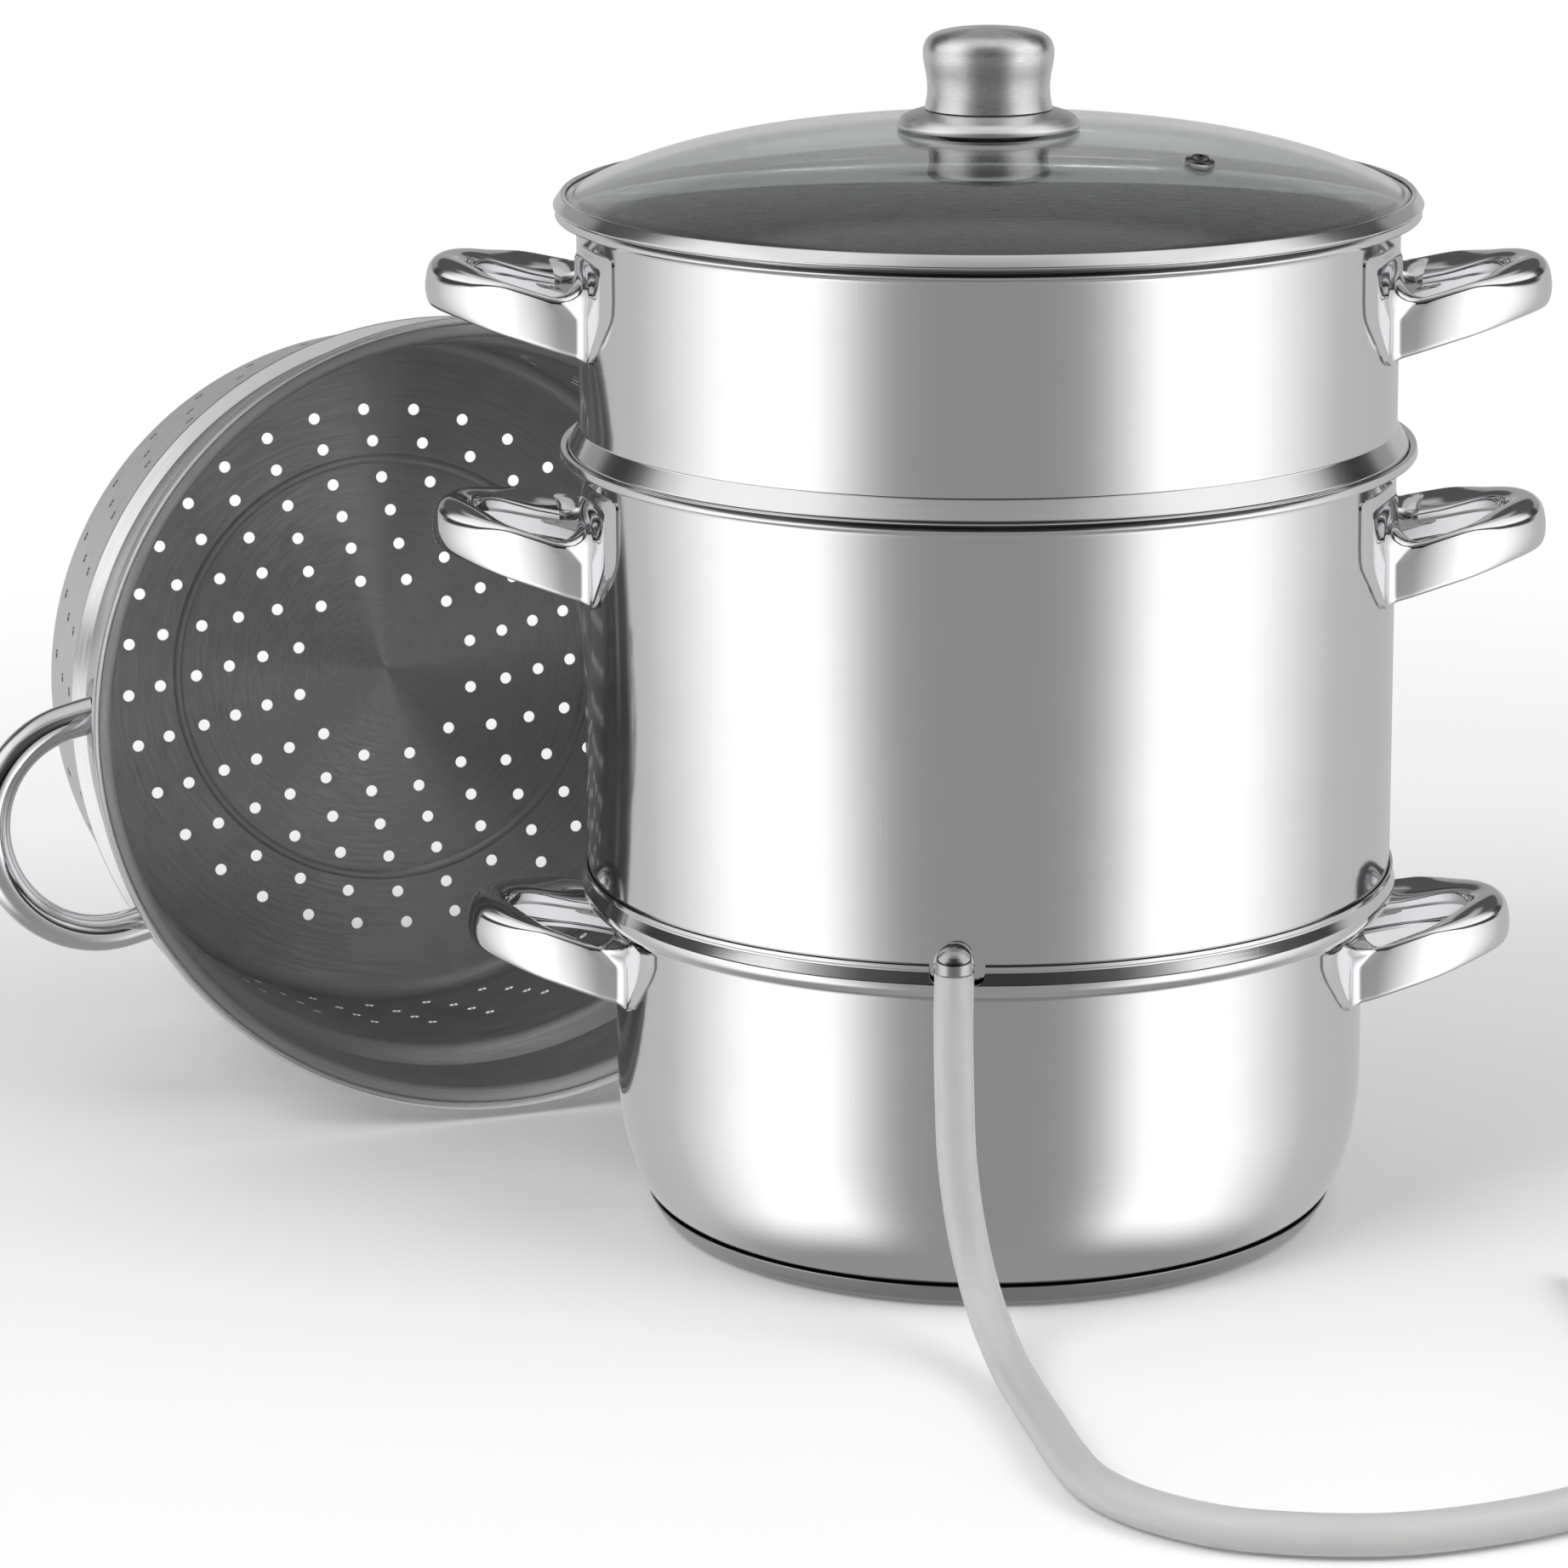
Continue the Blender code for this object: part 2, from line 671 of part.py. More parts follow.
def juice_kettle(parent):
    foot = POT_TOP - COLLAR_HEIGHT + SHEET + GAP
    width = COLLAR_CURVE_WIDTH - SHEET - GAP
    height = COLLAR_CURVE_HEIGHT - SHEET - GAP
    line = [(CONE_HOLE_RADIUS, foot)]
    for angle in quarter(COLLAR_STEPS):
        line.append((POT_RADIUS + width * math.sin(angle), foot + height * (1 - math.cos(angle))))
    line.append((TIER_RADIUS, POT_TOP))
    line += rim_line(KETTLE_TOP)
    shell = sheet("kettle_shell", line, POLISHED, parent)
    hole = cylinder_mesh("spout_hole_cutter", SPOUT_STUB_RADIUS + GAP, OVERRUN * 4)
    boolean(shell, cutter("spout_hole_cutter", hole, spout_frame(TIER_RADIUS)), "DIFFERENCE")

    base = foot + SHEET + GAP
    mouth = CONE_HEIGHT - SHEET
    line = [(CONE_FOOT_RADIUS, base)]
    for out, up in CONE_SHARES:
        line.append((CONE_MOUTH_RADIUS + (CONE_RADIUS - CONE_MOUTH_RADIUS) * out, base + mouth * up))
    thing = sheet("steam_cone", line, SATIN, parent, CONE_ROUND)
    thing.modifiers["sheet"].offset = 1
    strap_handles("kettle", TIER_RADIUS, KETTLE_STRAP_TOP, KETTLE_TOP - FLANGE_HEIGHT - BLEND, parent)


def spout_frame(radius):
    """A frame at the spout's height with its +Z pointing straight out of the kettle."""
    return (
        Matrix.Rotation(SPOUT_ANGLE, 4, "Z")
        @ Matrix.Translation((0, -radius, SPOUT_HEIGHT + SPOUT_STUB_RISE))
        @ Matrix.Rotation(math.pi / 2, 4, "X")
    )


def spout(parent):
    """A stub through the wall that ends in a domed body with its outlet below."""
    outlet = SPOUT_HEIGHT - SPOUT_DROP
    upright = Matrix.Rotation(SPOUT_ANGLE, 4, "Z") @ Matrix.Translation((0, -SPOUT_REACH, 0))
    loop = [(0, outlet), (SPOUT_RADIUS, outlet), (SPOUT_RADIUS, SPOUT_HEIGHT)]
    for angle in (math.radians(turn) for turn in SPOUT_DOME_ANGLES):
        loop.append((SPOUT_RADIUS * math.cos(angle), SPOUT_HEIGHT + SPOUT_RADIUS * math.sin(angle)))
    loop.append((0, SPOUT_HEIGHT + SPOUT_RADIUS))
    body = turned("spout_body", loop, HOLE_ROUND)
    body.transform(upright)
    inner_end = TIER_RADIUS - SHEET - SPOUT_INSIDE
    length = SPOUT_REACH - inner_end
    stub = cylinder_mesh("stub", SPOUT_STUB_RADIUS, length)
    bore = cylinder_mesh("bore", SPOUT_BORE, length + OVERRUN)
    drain = cylinder_mesh("drain", SPOUT_BORE, OVERRUN + SPOUT_DROP)
    drain_matrix = upright @ Matrix.Translation((0, 0, SPOUT_HEIGHT - (OVERRUN + SPOUT_DROP) / 2))
    data = baked("spout", body, [
        (stub, spout_frame(inner_end + length / 2), "UNION"),
        (bore, spout_frame(inner_end + (length - OVERRUN) / 2), "DIFFERENCE"),
        (drain, drain_matrix, "DIFFERENCE"),
    ])
    place("spout_elbow", data, POLISHED, parent)

    hole = SPOUT_STUB_RADIUS + GAP
    loop = [
        (hole, 0),
        (SPOUT_COLLAR_RADIUS, 0),
        (SPOUT_COLLAR_RADIUS, SPOUT_COLLAR_THICKNESS),
        (hole, SPOUT_COLLAR_THICKNESS),
    ]
    collar = turned("spout_collar", loop, HOLE_ROUND)
    collar.transform(spout_frame(TIER_RADIUS + GAP))
    place("spout_collar", collar, SATIN, parent)


def smooth_route(points, step):
    """Points a step apart on a smooth curve through the given ones."""
    padded = [2 * points[0] - points[1], *points, 2 * points[-1] - points[-2]]
    fine = []
    for index in range(1, len(padded) - 2):
        a, b, c, d = padded[index - 1 : index + 3]
        for piece in range(ROUTE_PIECES):
            t = piece / ROUTE_PIECES
            fine.append(
                0.5 * (2 * b + (c - a) * t + (2 * a - 5 * b + 4 * c - d) * t**2
                       + (3 * b - a - 3 * c + d) * t**3)
            )
    fine.append(points[-1])
    total = sum((after - before).length for before, after in zip(fine, fine[1:], strict=False))
    count = max(2, round(total / step))
    pitch = total / count
    result = [fine[0]]
    travelled = 0.0
    for before, after in zip(fine, fine[1:], strict=False):
        span = (after - before).length
        while len(result) < count and travelled + span >= pitch * len(result):
            share = (pitch * len(result) - travelled) / span
            result.append(before.lerp(after, share))
        travelled += span
    result.append(fine[-1])
    return result, total


def hose(parent):
    out = Matrix.Rotation(SPOUT_ANGLE, 4, "Z") @ Vector((0, -SPOUT_REACH, 0))
    start = Vector((out.x, out.y, SPOUT_HEIGHT - SPOUT_DROP - GAP))
    route = [start, *(Vector(point) for point in HOSE_ROUTE)]
    points, length = smooth_route(route, HOSE_STEP_SHARE * 2 * HOSE_RADIUS)
    print(f"hose length {length:.3f} m")
    data = bpy.data.curves.new("juice_hose", "CURVE")
    data.dimensions = "3D"
    data.bevel_depth = HOSE_RADIUS
    data.bevel_resolution = 2
    data.use_fill_caps = True
    line = data.splines.new("POLY")
    line.points.add(len(points) - 1)
    for corner, point in zip(line.points, points, strict=True):
        corner.co = (*point, 1.0)
    place("juice_hose", data, SILICONE, parent)


def strip(name, line, width, thickness):
    """A bent strip of sheet: its lower side follows a line of (x, z), and its width runs along Y."""
    shape = bmesh.new()
    points = [Vector(point) for point in line]
    stations = []
    for index, point in enumerate(points):
        before = points[max(index - 1, 0)]
        after = points[min(index + 1, len(points) - 1)]
        heading = (after - before).normalized()
        up = Vector((-heading.y, heading.x))
        top = point + up * thickness
        half = width / 2
        corners = ((point, -half), (point, half), (top, half), (top, -half))
        stations.append([shape.verts.new((spot.x, side, spot.y)) for spot, side in corners])
    for before, after in zip(stations, stations[1:], strict=False):
        skin(shape, before, after)
    shape.faces.new(stations[0])
    shape.faces.new(stations[-1])
    bmesh.ops.recalc_face_normals(shape, faces=shape.faces)
    return mesh_from(shape, name)


def clamp_arm(name, line, ear_low, ear_high, ear_side):
    """A clamp arm: a bent strip with two drilled ears that hold the pin."""
    changes = []
    size = (CLAMP_EAR, CLAMP_SHEET, ear_high - ear_low)
    for side in (-1, 1):
        offset = Vector((CLAMP_PIN_OFFSET, side * ear_side, (ear_low + ear_high) / 2))
        changes.append((box_mesh("ear", size), Matrix.Translation(offset), "UNION"))
    drill = cylinder_mesh("drill", CLAMP_PIN_RADIUS + GAP, CLAMP_WIDTH + OVERRUN)
    matrix = Matrix.Translation((CLAMP_PIN_OFFSET, 0, CLAMP_HOSE_HEIGHT)) @ Matrix.Rotation(
        math.pi / 2, 4, "X"
    )
    changes.append((drill, matrix, "DIFFERENCE"))
    return baked(name, strip(name, line, CLAMP_WIDTH, CLAMP_SHEET), changes)


def hose_clamp(parent):
    """Two arms on a pin that squeeze the hose, held shut by a bent leaf spring between their tails."""
    frame = anchor("clamp_frame", Matrix.Translation((*CLAMP_SPOT, 0)), parent)
    floor = CLAMP_FLOOR_GAP
    roof = CLAMP_HOSE_HEIGHT + HOSE_RADIUS + GAP
    outer_ear = (CLAMP_WIDTH - CLAMP_SHEET) / 2
    inner_ear = outer_ear - CLAMP_SHEET - GAP
    ear_reach = CLAMP_PIN_RADIUS * CLAMP_EAR_SHARE

    line = [(-CLAMP_NOSE, floor), (CLAMP_TAIL, floor)]
    ear = (floor + CLAMP_SHEET / 2, CLAMP_HOSE_HEIGHT + ear_reach)
    lower = clamp_arm("clamp_lower_jaw", line, *ear, outer_ear)
    place("clamp_lower_jaw", lower, SATIN, frame)

    line = [
        (-CLAMP_NOSE, roof),
        (CLAMP_PIN_OFFSET + CLAMP_EAR / 2, roof),
        (CLAMP_TAIL, roof + CLAMP_TAIL_LIFT),
    ]
    ear = (CLAMP_HOSE_HEIGHT - ear_reach, roof + CLAMP_SHEET / 2)
    upper = clamp_arm("clamp_upper_jaw", line, *ear, inner_ear)
    hinge = Matrix.Translation((CLAMP_PIN_OFFSET, 0, CLAMP_HOSE_HEIGHT))
    upper.transform(hinge.inverted())
    thing = place("clamp_upper_jaw", upper, SATIN, frame)
    thing.location = hinge.translation

    pin = cylinder_mesh("clamp_pin", CLAMP_PIN_RADIUS, CLAMP_WIDTH)
    thing = place("clamp_pin", pin, SATIN, frame)
    thing.location = hinge.translation
    thing.rotation_euler = (math.pi / 2, 0, 0)

    low = floor + CLAMP_SHEET + GAP
    slope = CLAMP_TAIL_LIFT / (CLAMP_TAIL - CLAMP_PIN_OFFSET - CLAMP_EAR / 2)
    high = roof + (SPRING_TIP - CLAMP_PIN_OFFSET - CLAMP_EAR / 2) * slope - SPRING_SHEET - 2 * GAP
    line = [
        (SPRING_ROOT, low),
        (SPRING_BEND, low),
        (SPRING_BEND + CLAMP_SHEET, low + CLAMP_SHEET),
        (SPRING_BEND, low + CLAMP_SHEET * SPRING_BEND_SHARE),
        (SPRING_TIP, high),
    ]
    place("clamp_spring", strip("clamp_spring", line, SPRING_WIDTH, SPRING_SHEET), SATIN, frame)


def glass_height(radius):
    """Top surface of the domed glass, flatter in the middle than at its edge."""
    share = radius / GLASS_RADIUS
    return GLASS_CROWN - GLASS_BOW * share**2 - GLASS_DROOP * share**4


def glass_slope(radius):
    share = radius / GLASS_RADIUS
    return -(2 * GLASS_BOW * share + 4 * GLASS_DROOP * share**3) / GLASS_RADIUS


def vent_frame():
    """A frame on the glass's top surface at the vent, +Z out of the glass."""
    tilt = math.atan(-glass_slope(VENT_SPOT_RADIUS))
    return (
        Matrix.Rotation(VENT_SPOT_ANGLE, 4, "Z")
        @ Matrix.Translation((VENT_SPOT_RADIUS, 0, glass_height(VENT_SPOT_RADIUS)))
        @ Matrix.Rotation(tilt, 4, "Y")
    )


def lid_glass(parent):
    inner_mid = VENT_SPOT_RADIUS * GLASS_MID_SHARES[0]
    outer_mid = VENT_SPOT_RADIUS + (GLASS_RADIUS - VENT_SPOT_RADIUS) * GLASS_MID_SHARES[1]
    stations = [GLASS_HOLE, inner_mid, VENT_SPOT_RADIUS, outer_mid, GLASS_RADIUS]
    top = [(radius, glass_height(radius)) for radius in stations]
    below = [(radius, height - GLASS_THICKNESS) for radius, height in reversed(top)]
    thing = place("lid_glass", turned("lid_glass", top + below), GLASS, parent)
    hole = cylinder_mesh("vent_hole_cutter", VENT_HOLE, GLASS_THICKNESS + OVERRUN * 2)
    boolean(thing, cutter("vent_hole_cutter", hole, vent_frame()), "DIFFERENCE")


def lid_band(parent):
    """The rim band: it grips the glass edge, rests on the steamer's roll and centres the lid inside it."""
    edge = GLASS_RADIUS + GAP
    under = glass_height(GLASS_RADIUS) - GLASS_THICKNESS - GAP
    over = glass_height(BAND_INNER) + GAP
    seat = STEAMER_TOP + GAP
    web = edge + BAND_WEB
    flange = under - BAND_SHEET
    shoulder, setback = BAND_CROWN_SHARES
    loop = [
        (BAND_INNER, over),
        (edge, over),
        (edge, under),
        (BAND_SLEEVE, under),
        (BAND_SLEEVE - BAND_SHEET, under - BAND_SHEET),
        (BAND_SLEEVE - BAND_SHEET, under - BAND_SHEET - BAND_SKIRT),
        (BAND_SLEEVE, under - BAND_SHEET - BAND_SKIRT),
        (BAND_SLEEVE + BAND_WEB, flange),
        (web, flange),
        (web, seat),
        (BAND_RADIUS - BLEND, seat),
        (BAND_RADIUS, seat + BLEND),
        (BAND_RADIUS, over - BLEND),
        (BAND_RADIUS - BLEND, over + BAND_LIP * shoulder),
        (BAND_RADIUS - BLEND * setback, over + BAND_LIP),
        (BAND_INNER, over + BAND_SHEET),
    ]
    place("lid_band", turned("lid_band", loop), POLISHED, parent)


def knob(parent):
    gasket_foot = GLASS_CROWN + GAP
    gasket_top = gasket_foot + GASKET_THICKNESS
    loop = [
        (BOLT_HOLE, gasket_foot),
        (GASKET_RADIUS, gasket_foot),
        (GASKET_RADIUS, gasket_top),
        (BOLT_HOLE, gasket_top),
    ]
    place("knob_gasket", turned("knob_gasket", loop, SMALL_ROUND), SILICONE, parent)

    plate = gasket_top + GAP
    rim = glass_height(SKIRT_RADIUS) + 2 * GAP
    skirt_top = plate + SKIRT_HEIGHT
    loop = [
        (BOLT_HOLE, plate),
        (GASKET_RADIUS + GAP, plate),
        (GASKET_RADIUS + 2 * GAP, rim),
        (SKIRT_RADIUS, rim),
    ]
    for out, up in SKIRT_SHARES:
        loop.append((SKIRT_RADIUS * out, rim + (skirt_top - rim) * up))
    loop.append((BOLT_HOLE, skirt_top))
    place("knob_skirt", turned("knob_skirt", loop, SMALL_ROUND), POLISHED, parent)

    foot = skirt_top + GAP
    loop = [(BOLT_HOLE, foot)]
    for out, up in CAP_SHARES:
        loop.append((CAP_RADIUS * out, foot + CAP_HEIGHT * up))
    reach = foot + BOLT_REACH
    loop += [(0, foot + CAP_HEIGHT), (0, reach + GAP), (BOLT_HOLE, reach + GAP)]
    place("knob_cap", turned("knob_cap", loop, SMALL_ROUND), SATIN, parent)

    washer_top = glass_height(WASHER_RADIUS) - GLASS_THICKNESS - GAP
    washer_foot = washer_top - WASHER_THICKNESS
    loop = [(BOLT_HOLE, washer_foot)]
    for out, up in WASHER_SHARES:
        loop.append((WASHER_RADIUS * out, washer_foot + WASHER_THICKNESS * up))
    loop.append((BOLT_HOLE, washer_top))
    place("lid_washer", turned("lid_washer", loop, SMALL_ROUND), POLISHED, parent)

    head = washer_foot - GAP
    loop = [(0, head - BOLT_HEAD_HEIGHT)]
    for out, down in BOLT_HEAD_SHARES:
        loop.append((BOLT_HEAD_RADIUS * out, head - BOLT_HEAD_HEIGHT * down))
    loop += [(BOLT_RADIUS, head), (BOLT_RADIUS, reach), (0, reach)]
    place("lid_screw", turned("lid_screw", loop, HOLE_ROUND), SATIN, parent)


def steam_vent(parent):
    """A rolled eyelet through the glass."""
    below = -GLASS_THICKNESS - GAP
    lower, upper = VENT_EDGE_SHARES
    loop = [
        (VENT_BORE, VENT_COLLAR),
        (VENT_BORE, below - VENT_SHEET),
        (VENT_FLANGE * lower, below - VENT_SHEET),
        (VENT_FLANGE * lower, below),
        (VENT_TUBE, below),
        (VENT_TUBE, GAP),
        (VENT_FLANGE, GAP),
        (VENT_FLANGE * upper, GAP + VENT_SHEET),
        (VENT_TUBE, GAP + VENT_SHEET),
        (VENT_TUBE * upper, VENT_COLLAR),
    ]
    data = turned("steam_vent", loop, HOLE_ROUND)
    data.transform(vent_frame())
    place("steam_vent", data, POLISHED, parent)


def steamer(parent):
    floor = STEAMER_TOP - STEAMER_DEPTH
    seat = KETTLE_TOP - 2 * ROLL_RADIUS + SHEET
    bead_foot = seat - BEAD_HEIGHT * BEAD_SEAT_SHARE
    line = bead_line(bead_foot - floor) + rim_line(STEAMER_DEPTH)
    frame = anchor("steamer_floor", Matrix.Translation((0, 0, floor)), parent)
    perforated_vessel("steamer_shell", STEAMER_RINGS, 0, line, POLISHED, frame)
    strap_handles("steamer", TIER_RADIUS, STEAMER_STRAP_TOP, STEAMER_TOP - FLANGE_HEIGHT - BLEND, parent)


def tube_end_radius():
    """Where the tube ends are coped round the brackets' outer faces."""
    return TIER_RADIUS + 2 * GAP + BRACKET_SHEET


def tube_path():
    """Centre line of a bent tube handle in plan, from one bracket to the other."""
    start = math.sqrt(tube_end_radius() ** 2 - TUBE_SPREAD**2)
    bend = start + TUBE_STRAIGHT
    reach = TIER_RADIUS + TUBE_REACH
    points = [Vector((start, -TUBE_SPREAD, 0))]
    for index in range(TUBE_STEPS + 1):
        angle = -math.pi / 2 + math.pi * index / TUBE_STEPS
        points.append(Vector((bend + (reach - bend) * math.cos(angle), TUBE_SPREAD * math.sin(angle), 0)))
    points.append(Vector((start, TUBE_SPREAD, 0)))
    return points


def tube_mesh(name, points, outer, inner, count):
    """A hollow round tube along points in the XY plane, whose open ends fit a round wall."""
    shape = bmesh.new()
    walls = ([], [])
    for index, point in enumerate(points):
        before = points[max(index - 1, 0)]
        after = points[min(index + 1, len(points) - 1)]
        heading = (after - before).normalized()
        side = Vector((heading.y, -heading.x, 0))
        for wall, radius in zip(walls, (outer, inner), strict=True):
            corners = []
            for step in range(count):
                angle = math.tau * step / count
                spot = point + side * radius * math.cos(angle) + Vector((0, 0, radius * math.sin(angle)))
                if index in (0, len(points) - 1):
                    spot.x = math.sqrt(tube_end_radius() ** 2 - spot.y**2)
                corners.append(shape.verts.new(spot))
            wall.append(corners)
    for wall in walls:
        for before, after in zip(wall, wall[1:], strict=False):
            skin(shape, before, after)
    for end in (0, -1):
        skin(shape, walls[0][end], walls[1][end])
    bmesh.ops.recalc_face_normals(shape, faces=shape.faces)
    return mesh_from(shape, name)


def bracket_mesh(side):
    """An oval weld plate that hugs the wall behind one tube end."""
    middle = side * math.asin(TUBE_SPREAD / TIER_RADIUS)
    columns = []
    for share in BRACKET_COLUMN_SHARES:
        angle = middle + share * BRACKET_LONG / 2 / TIER_RADIUS
        rise = BRACKET_WIDE / 2 * math.sqrt(1 - share**2)
        columns.append((angle, -rise, rise))
    return curved_plate("bracket", TIER_RADIUS + GAP, BRACKET_SHEET, columns)


def strainer():
    """A loose perforated tier that lies on its bead and floor corner, its mouth to the front."""
    bead_foot = STRAINER_NEST_DEPTH
    line = bead_line(bead_foot) + rim_line(STRAINER_DEPTH)
    drop = BEAD_RADIUS - NEST_RADIUS
    bead_middle = bead_foot + BEAD_HEIGHT / 2
    tilt = math.atan2(drop, bead_middle - FLOOR_CORNER)
    turn = (
        Matrix.Rotation(STRAINER_YAW, 4, "Z")
        @ Matrix.Rotation(math.pi / 2 - tilt, 4, "X")
        @ Matrix.Rotation(STRAINER_ROLL, 4, "Z")
    )
    mouth = turn @ Vector((0, 0, STRAINER_DEPTH))
    frame = anchor("strainer_frame", turn)
    shell = perforated_vessel("strainer_shell", STRAINER_RINGS, WALL_HOLE_ROWS, line, SATIN, frame)
    lowest = min((turn @ corner.co).z for corner in shell.data.vertices)
    across, back = (share * TIER_RADIUS for share in STRAINER_PLACE_SHARES)
    place_at = (across - mouth.x, back - mouth.y, GAP - lowest)
    frame.matrix_world = Matrix.Translation(place_at) @ turn

    height = STRAINER_DEPTH - BRACKET_DROP
    data = tube_mesh("strainer_tube", tube_path(), TUBE_RADIUS, TUBE_BORE, TUBE_ROUND)
    for side, angle in (("right", 0.0), ("left", math.pi)):
        arm = anchor(f"strainer_{side}_frame", Matrix(), frame)
        arm.matrix_local = Matrix.Translation((0, 0, height)) @ Matrix.Rotation(angle, 4, "Z")
        place(f"strainer_handle_{side}", data.copy(), POLISHED, arm)
        for end, sign in (("a", -1), ("b", 1)):
            place(f"strainer_bracket_{side}_{end}", bracket_mesh(sign), SATIN, arm)


def build():
    clear_scene()
    water_pot()
    strap_handles("pot", POT_RADIUS, POT_STRAP_TOP, POT_TOP - COLLAR_HEIGHT - BLEND)
    kettle = anchor("kettle_frame", Matrix())
    juice_kettle(kettle)
    spout(kettle)
    hose(kettle)
    hose_clamp(kettle)
    tier = anchor("steamer_frame", Matrix(), kettle)
    steamer(tier)
    lid = anchor("lid_frame", Matrix(), tier)
    lid_glass(lid)
    lid_band(lid)
    knob(lid)
    steam_vent(lid)
    strainer()


build()
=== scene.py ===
"""Looks of a stacked steam juicer: water pot, juice kettle with hose, steamer, glass lid, loose strainer.

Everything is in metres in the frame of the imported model: the base centre is the origin, -Y is the front.
"""

import math

import bmesh
import bpy
from mathutils import Matrix, Vector


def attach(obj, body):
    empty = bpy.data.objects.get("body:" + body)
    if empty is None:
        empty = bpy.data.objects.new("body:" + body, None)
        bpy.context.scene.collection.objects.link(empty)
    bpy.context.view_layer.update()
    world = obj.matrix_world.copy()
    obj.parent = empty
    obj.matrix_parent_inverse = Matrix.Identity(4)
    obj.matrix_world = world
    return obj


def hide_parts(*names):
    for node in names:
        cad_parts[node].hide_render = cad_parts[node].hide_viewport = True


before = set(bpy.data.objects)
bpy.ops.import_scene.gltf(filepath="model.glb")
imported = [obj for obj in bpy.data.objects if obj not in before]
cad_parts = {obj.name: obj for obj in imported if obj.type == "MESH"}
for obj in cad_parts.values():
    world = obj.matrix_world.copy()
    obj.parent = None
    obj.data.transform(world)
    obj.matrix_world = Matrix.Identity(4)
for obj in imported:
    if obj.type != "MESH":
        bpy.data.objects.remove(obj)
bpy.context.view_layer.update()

# Camera
CAMERA_PLACE = (0.0, -1.7283, 0.5868)
CAMERA_TILT = math.radians(75.52)
CAMERA_SENSOR = 36.0
CAMERA_LENS = 126.4
CAMERA_SHIFT = -0.1305
CAMERA_REACH = 50.0

# Sheet metal, and the small gap between neighbours
SHEET = 0.0008
GAP = 0.0003

# Vessel walls and heights
TIER_RADIUS = 0.130
POT_RADIUS = 0.1215
NEST_RADIUS = 0.124
POT_TOP = 0.117
KETTLE_TOP = 0.2545
STEAMER_TOP = 0.3302
STEAMER_FLOOR = 0.1682

# Segments round a turned piece
ROUND = 216
KNOB_ROUND = 96
SMALL_ROUND = 48

# Water pot
POT_FLOOR = 0.0055
POT_FLOOR_RING = 0.05
POT_CORNER = (0.016, 0.044)
COLLAR_HEIGHT = 0.0131
COLLAR_CURVE = (0.0104, 0.0066)
COLLAR_LEAN = 0.0008
COLLAR_LIP = 0.0015
COLLAR_GROOVE = 0.0004
NOTCH_HALF = 0.0086
NOTCH_DEPTH = 0.0058
NOTCH_FILLET = 0.0042
NOTCH_TOOL = 0.01
BASE_CAP_RADIUS = 0.1122
BASE_CAP_HEIGHT = 0.0078
BASE_FACE_RADIUS = 0.1045
BASE_CORE_RADIUS = 0.101

# Rolled rims and beads
RIM_RADIUS = 0.1367
ROLL_RADIUS = 0.0014
RIM_LEAN = 0.00045
FLANGE_HEIGHT = 0.0058
BEAD_RADIUS = 0.1339
BEAD_HEIGHT = 0.016
BEAD_LINE = ((0.05, 0.14, 0.003), (0.92, 0.32, 0.0020), (1.0, 0.43, 0.0005), (0.98, 0.50, 0.0003))

# Perforated floors and walls
FLOOR_CORNER = 0.0076
HOLE_RADIUS = 0.0021
WALL_HOLE_RADIUS = 0.0017
HOLE_CELL = 0.0094
CELL_STEPS = 6
FLOOR_MIDDLE = ((0, 0), (0.012, 0), (0.022, 0))
FLOOR_RINGS = ((0.034, 12), (0.0465, 16), (0.0585, 20), (0.0705, 24), (0.0838, 28), (0.0955, 32))
EMBOSS_RADIUS = 0.0770
EMBOSS_LINE = ((0.0756, 0.0), (0.0763, 0.0005), (0.0770, 0.0007), (0.0777, 0.0005), (0.0784, 0.0))
WALL_ROWS = 4
WALL_ROW_CELLS = 36
WALL_ROW_START = 0.016
WALL_ROW_PITCH = 0.0125
WALL_ROW_SHIFT = 0.25
STRAINER_DEPTH = 0.152
STRAINER_NEST = 0.091
STEAMER_NEST = 0.0788

# Kettle floor and steam cone
KETTLE_HOLE = 0.0445
KETTLE_FLOOR_RING = 0.085
CONE_LINE = ((0.0555, 0.0), (0.050, 0.0), (0.0458, 0.0079), (0.0262, 0.0484), (0.0232, 0.0562))

# Strap handles: a bent channel whose ends flow into plates welded to the wall
STRAP_REACH = 0.0485
STRAP_SPREAD = 0.0335
STRAP_WIDTH = 0.012
STRAP_HEIGHT = 0.0176
STRAP_LIP = 0.0076
STRAP_SHEET = 0.0012
STRAP_RISE = 0.0108
STRAP_RISE_POWER = 1.45
STRAP_LEG_POWER = 1.29
STRAP_TOPS = {"pot": 0.0944, "kettle": 0.2260, "steamer": 0.3035}
WING_TOPS = {"pot": 0.1003, "kettle": 0.2455, "steamer": 0.3212}
WING_SPREAD = 0.0615
WING_EDGE = 0.0005
WELD_FILLETS = (0.0028, 0.0150)
STRAP_TIP_START = 0.55
STRAP_FIRST_TURN = 0.02 - math.pi / 2
STRAP_EDGE_EASE = 0.00055

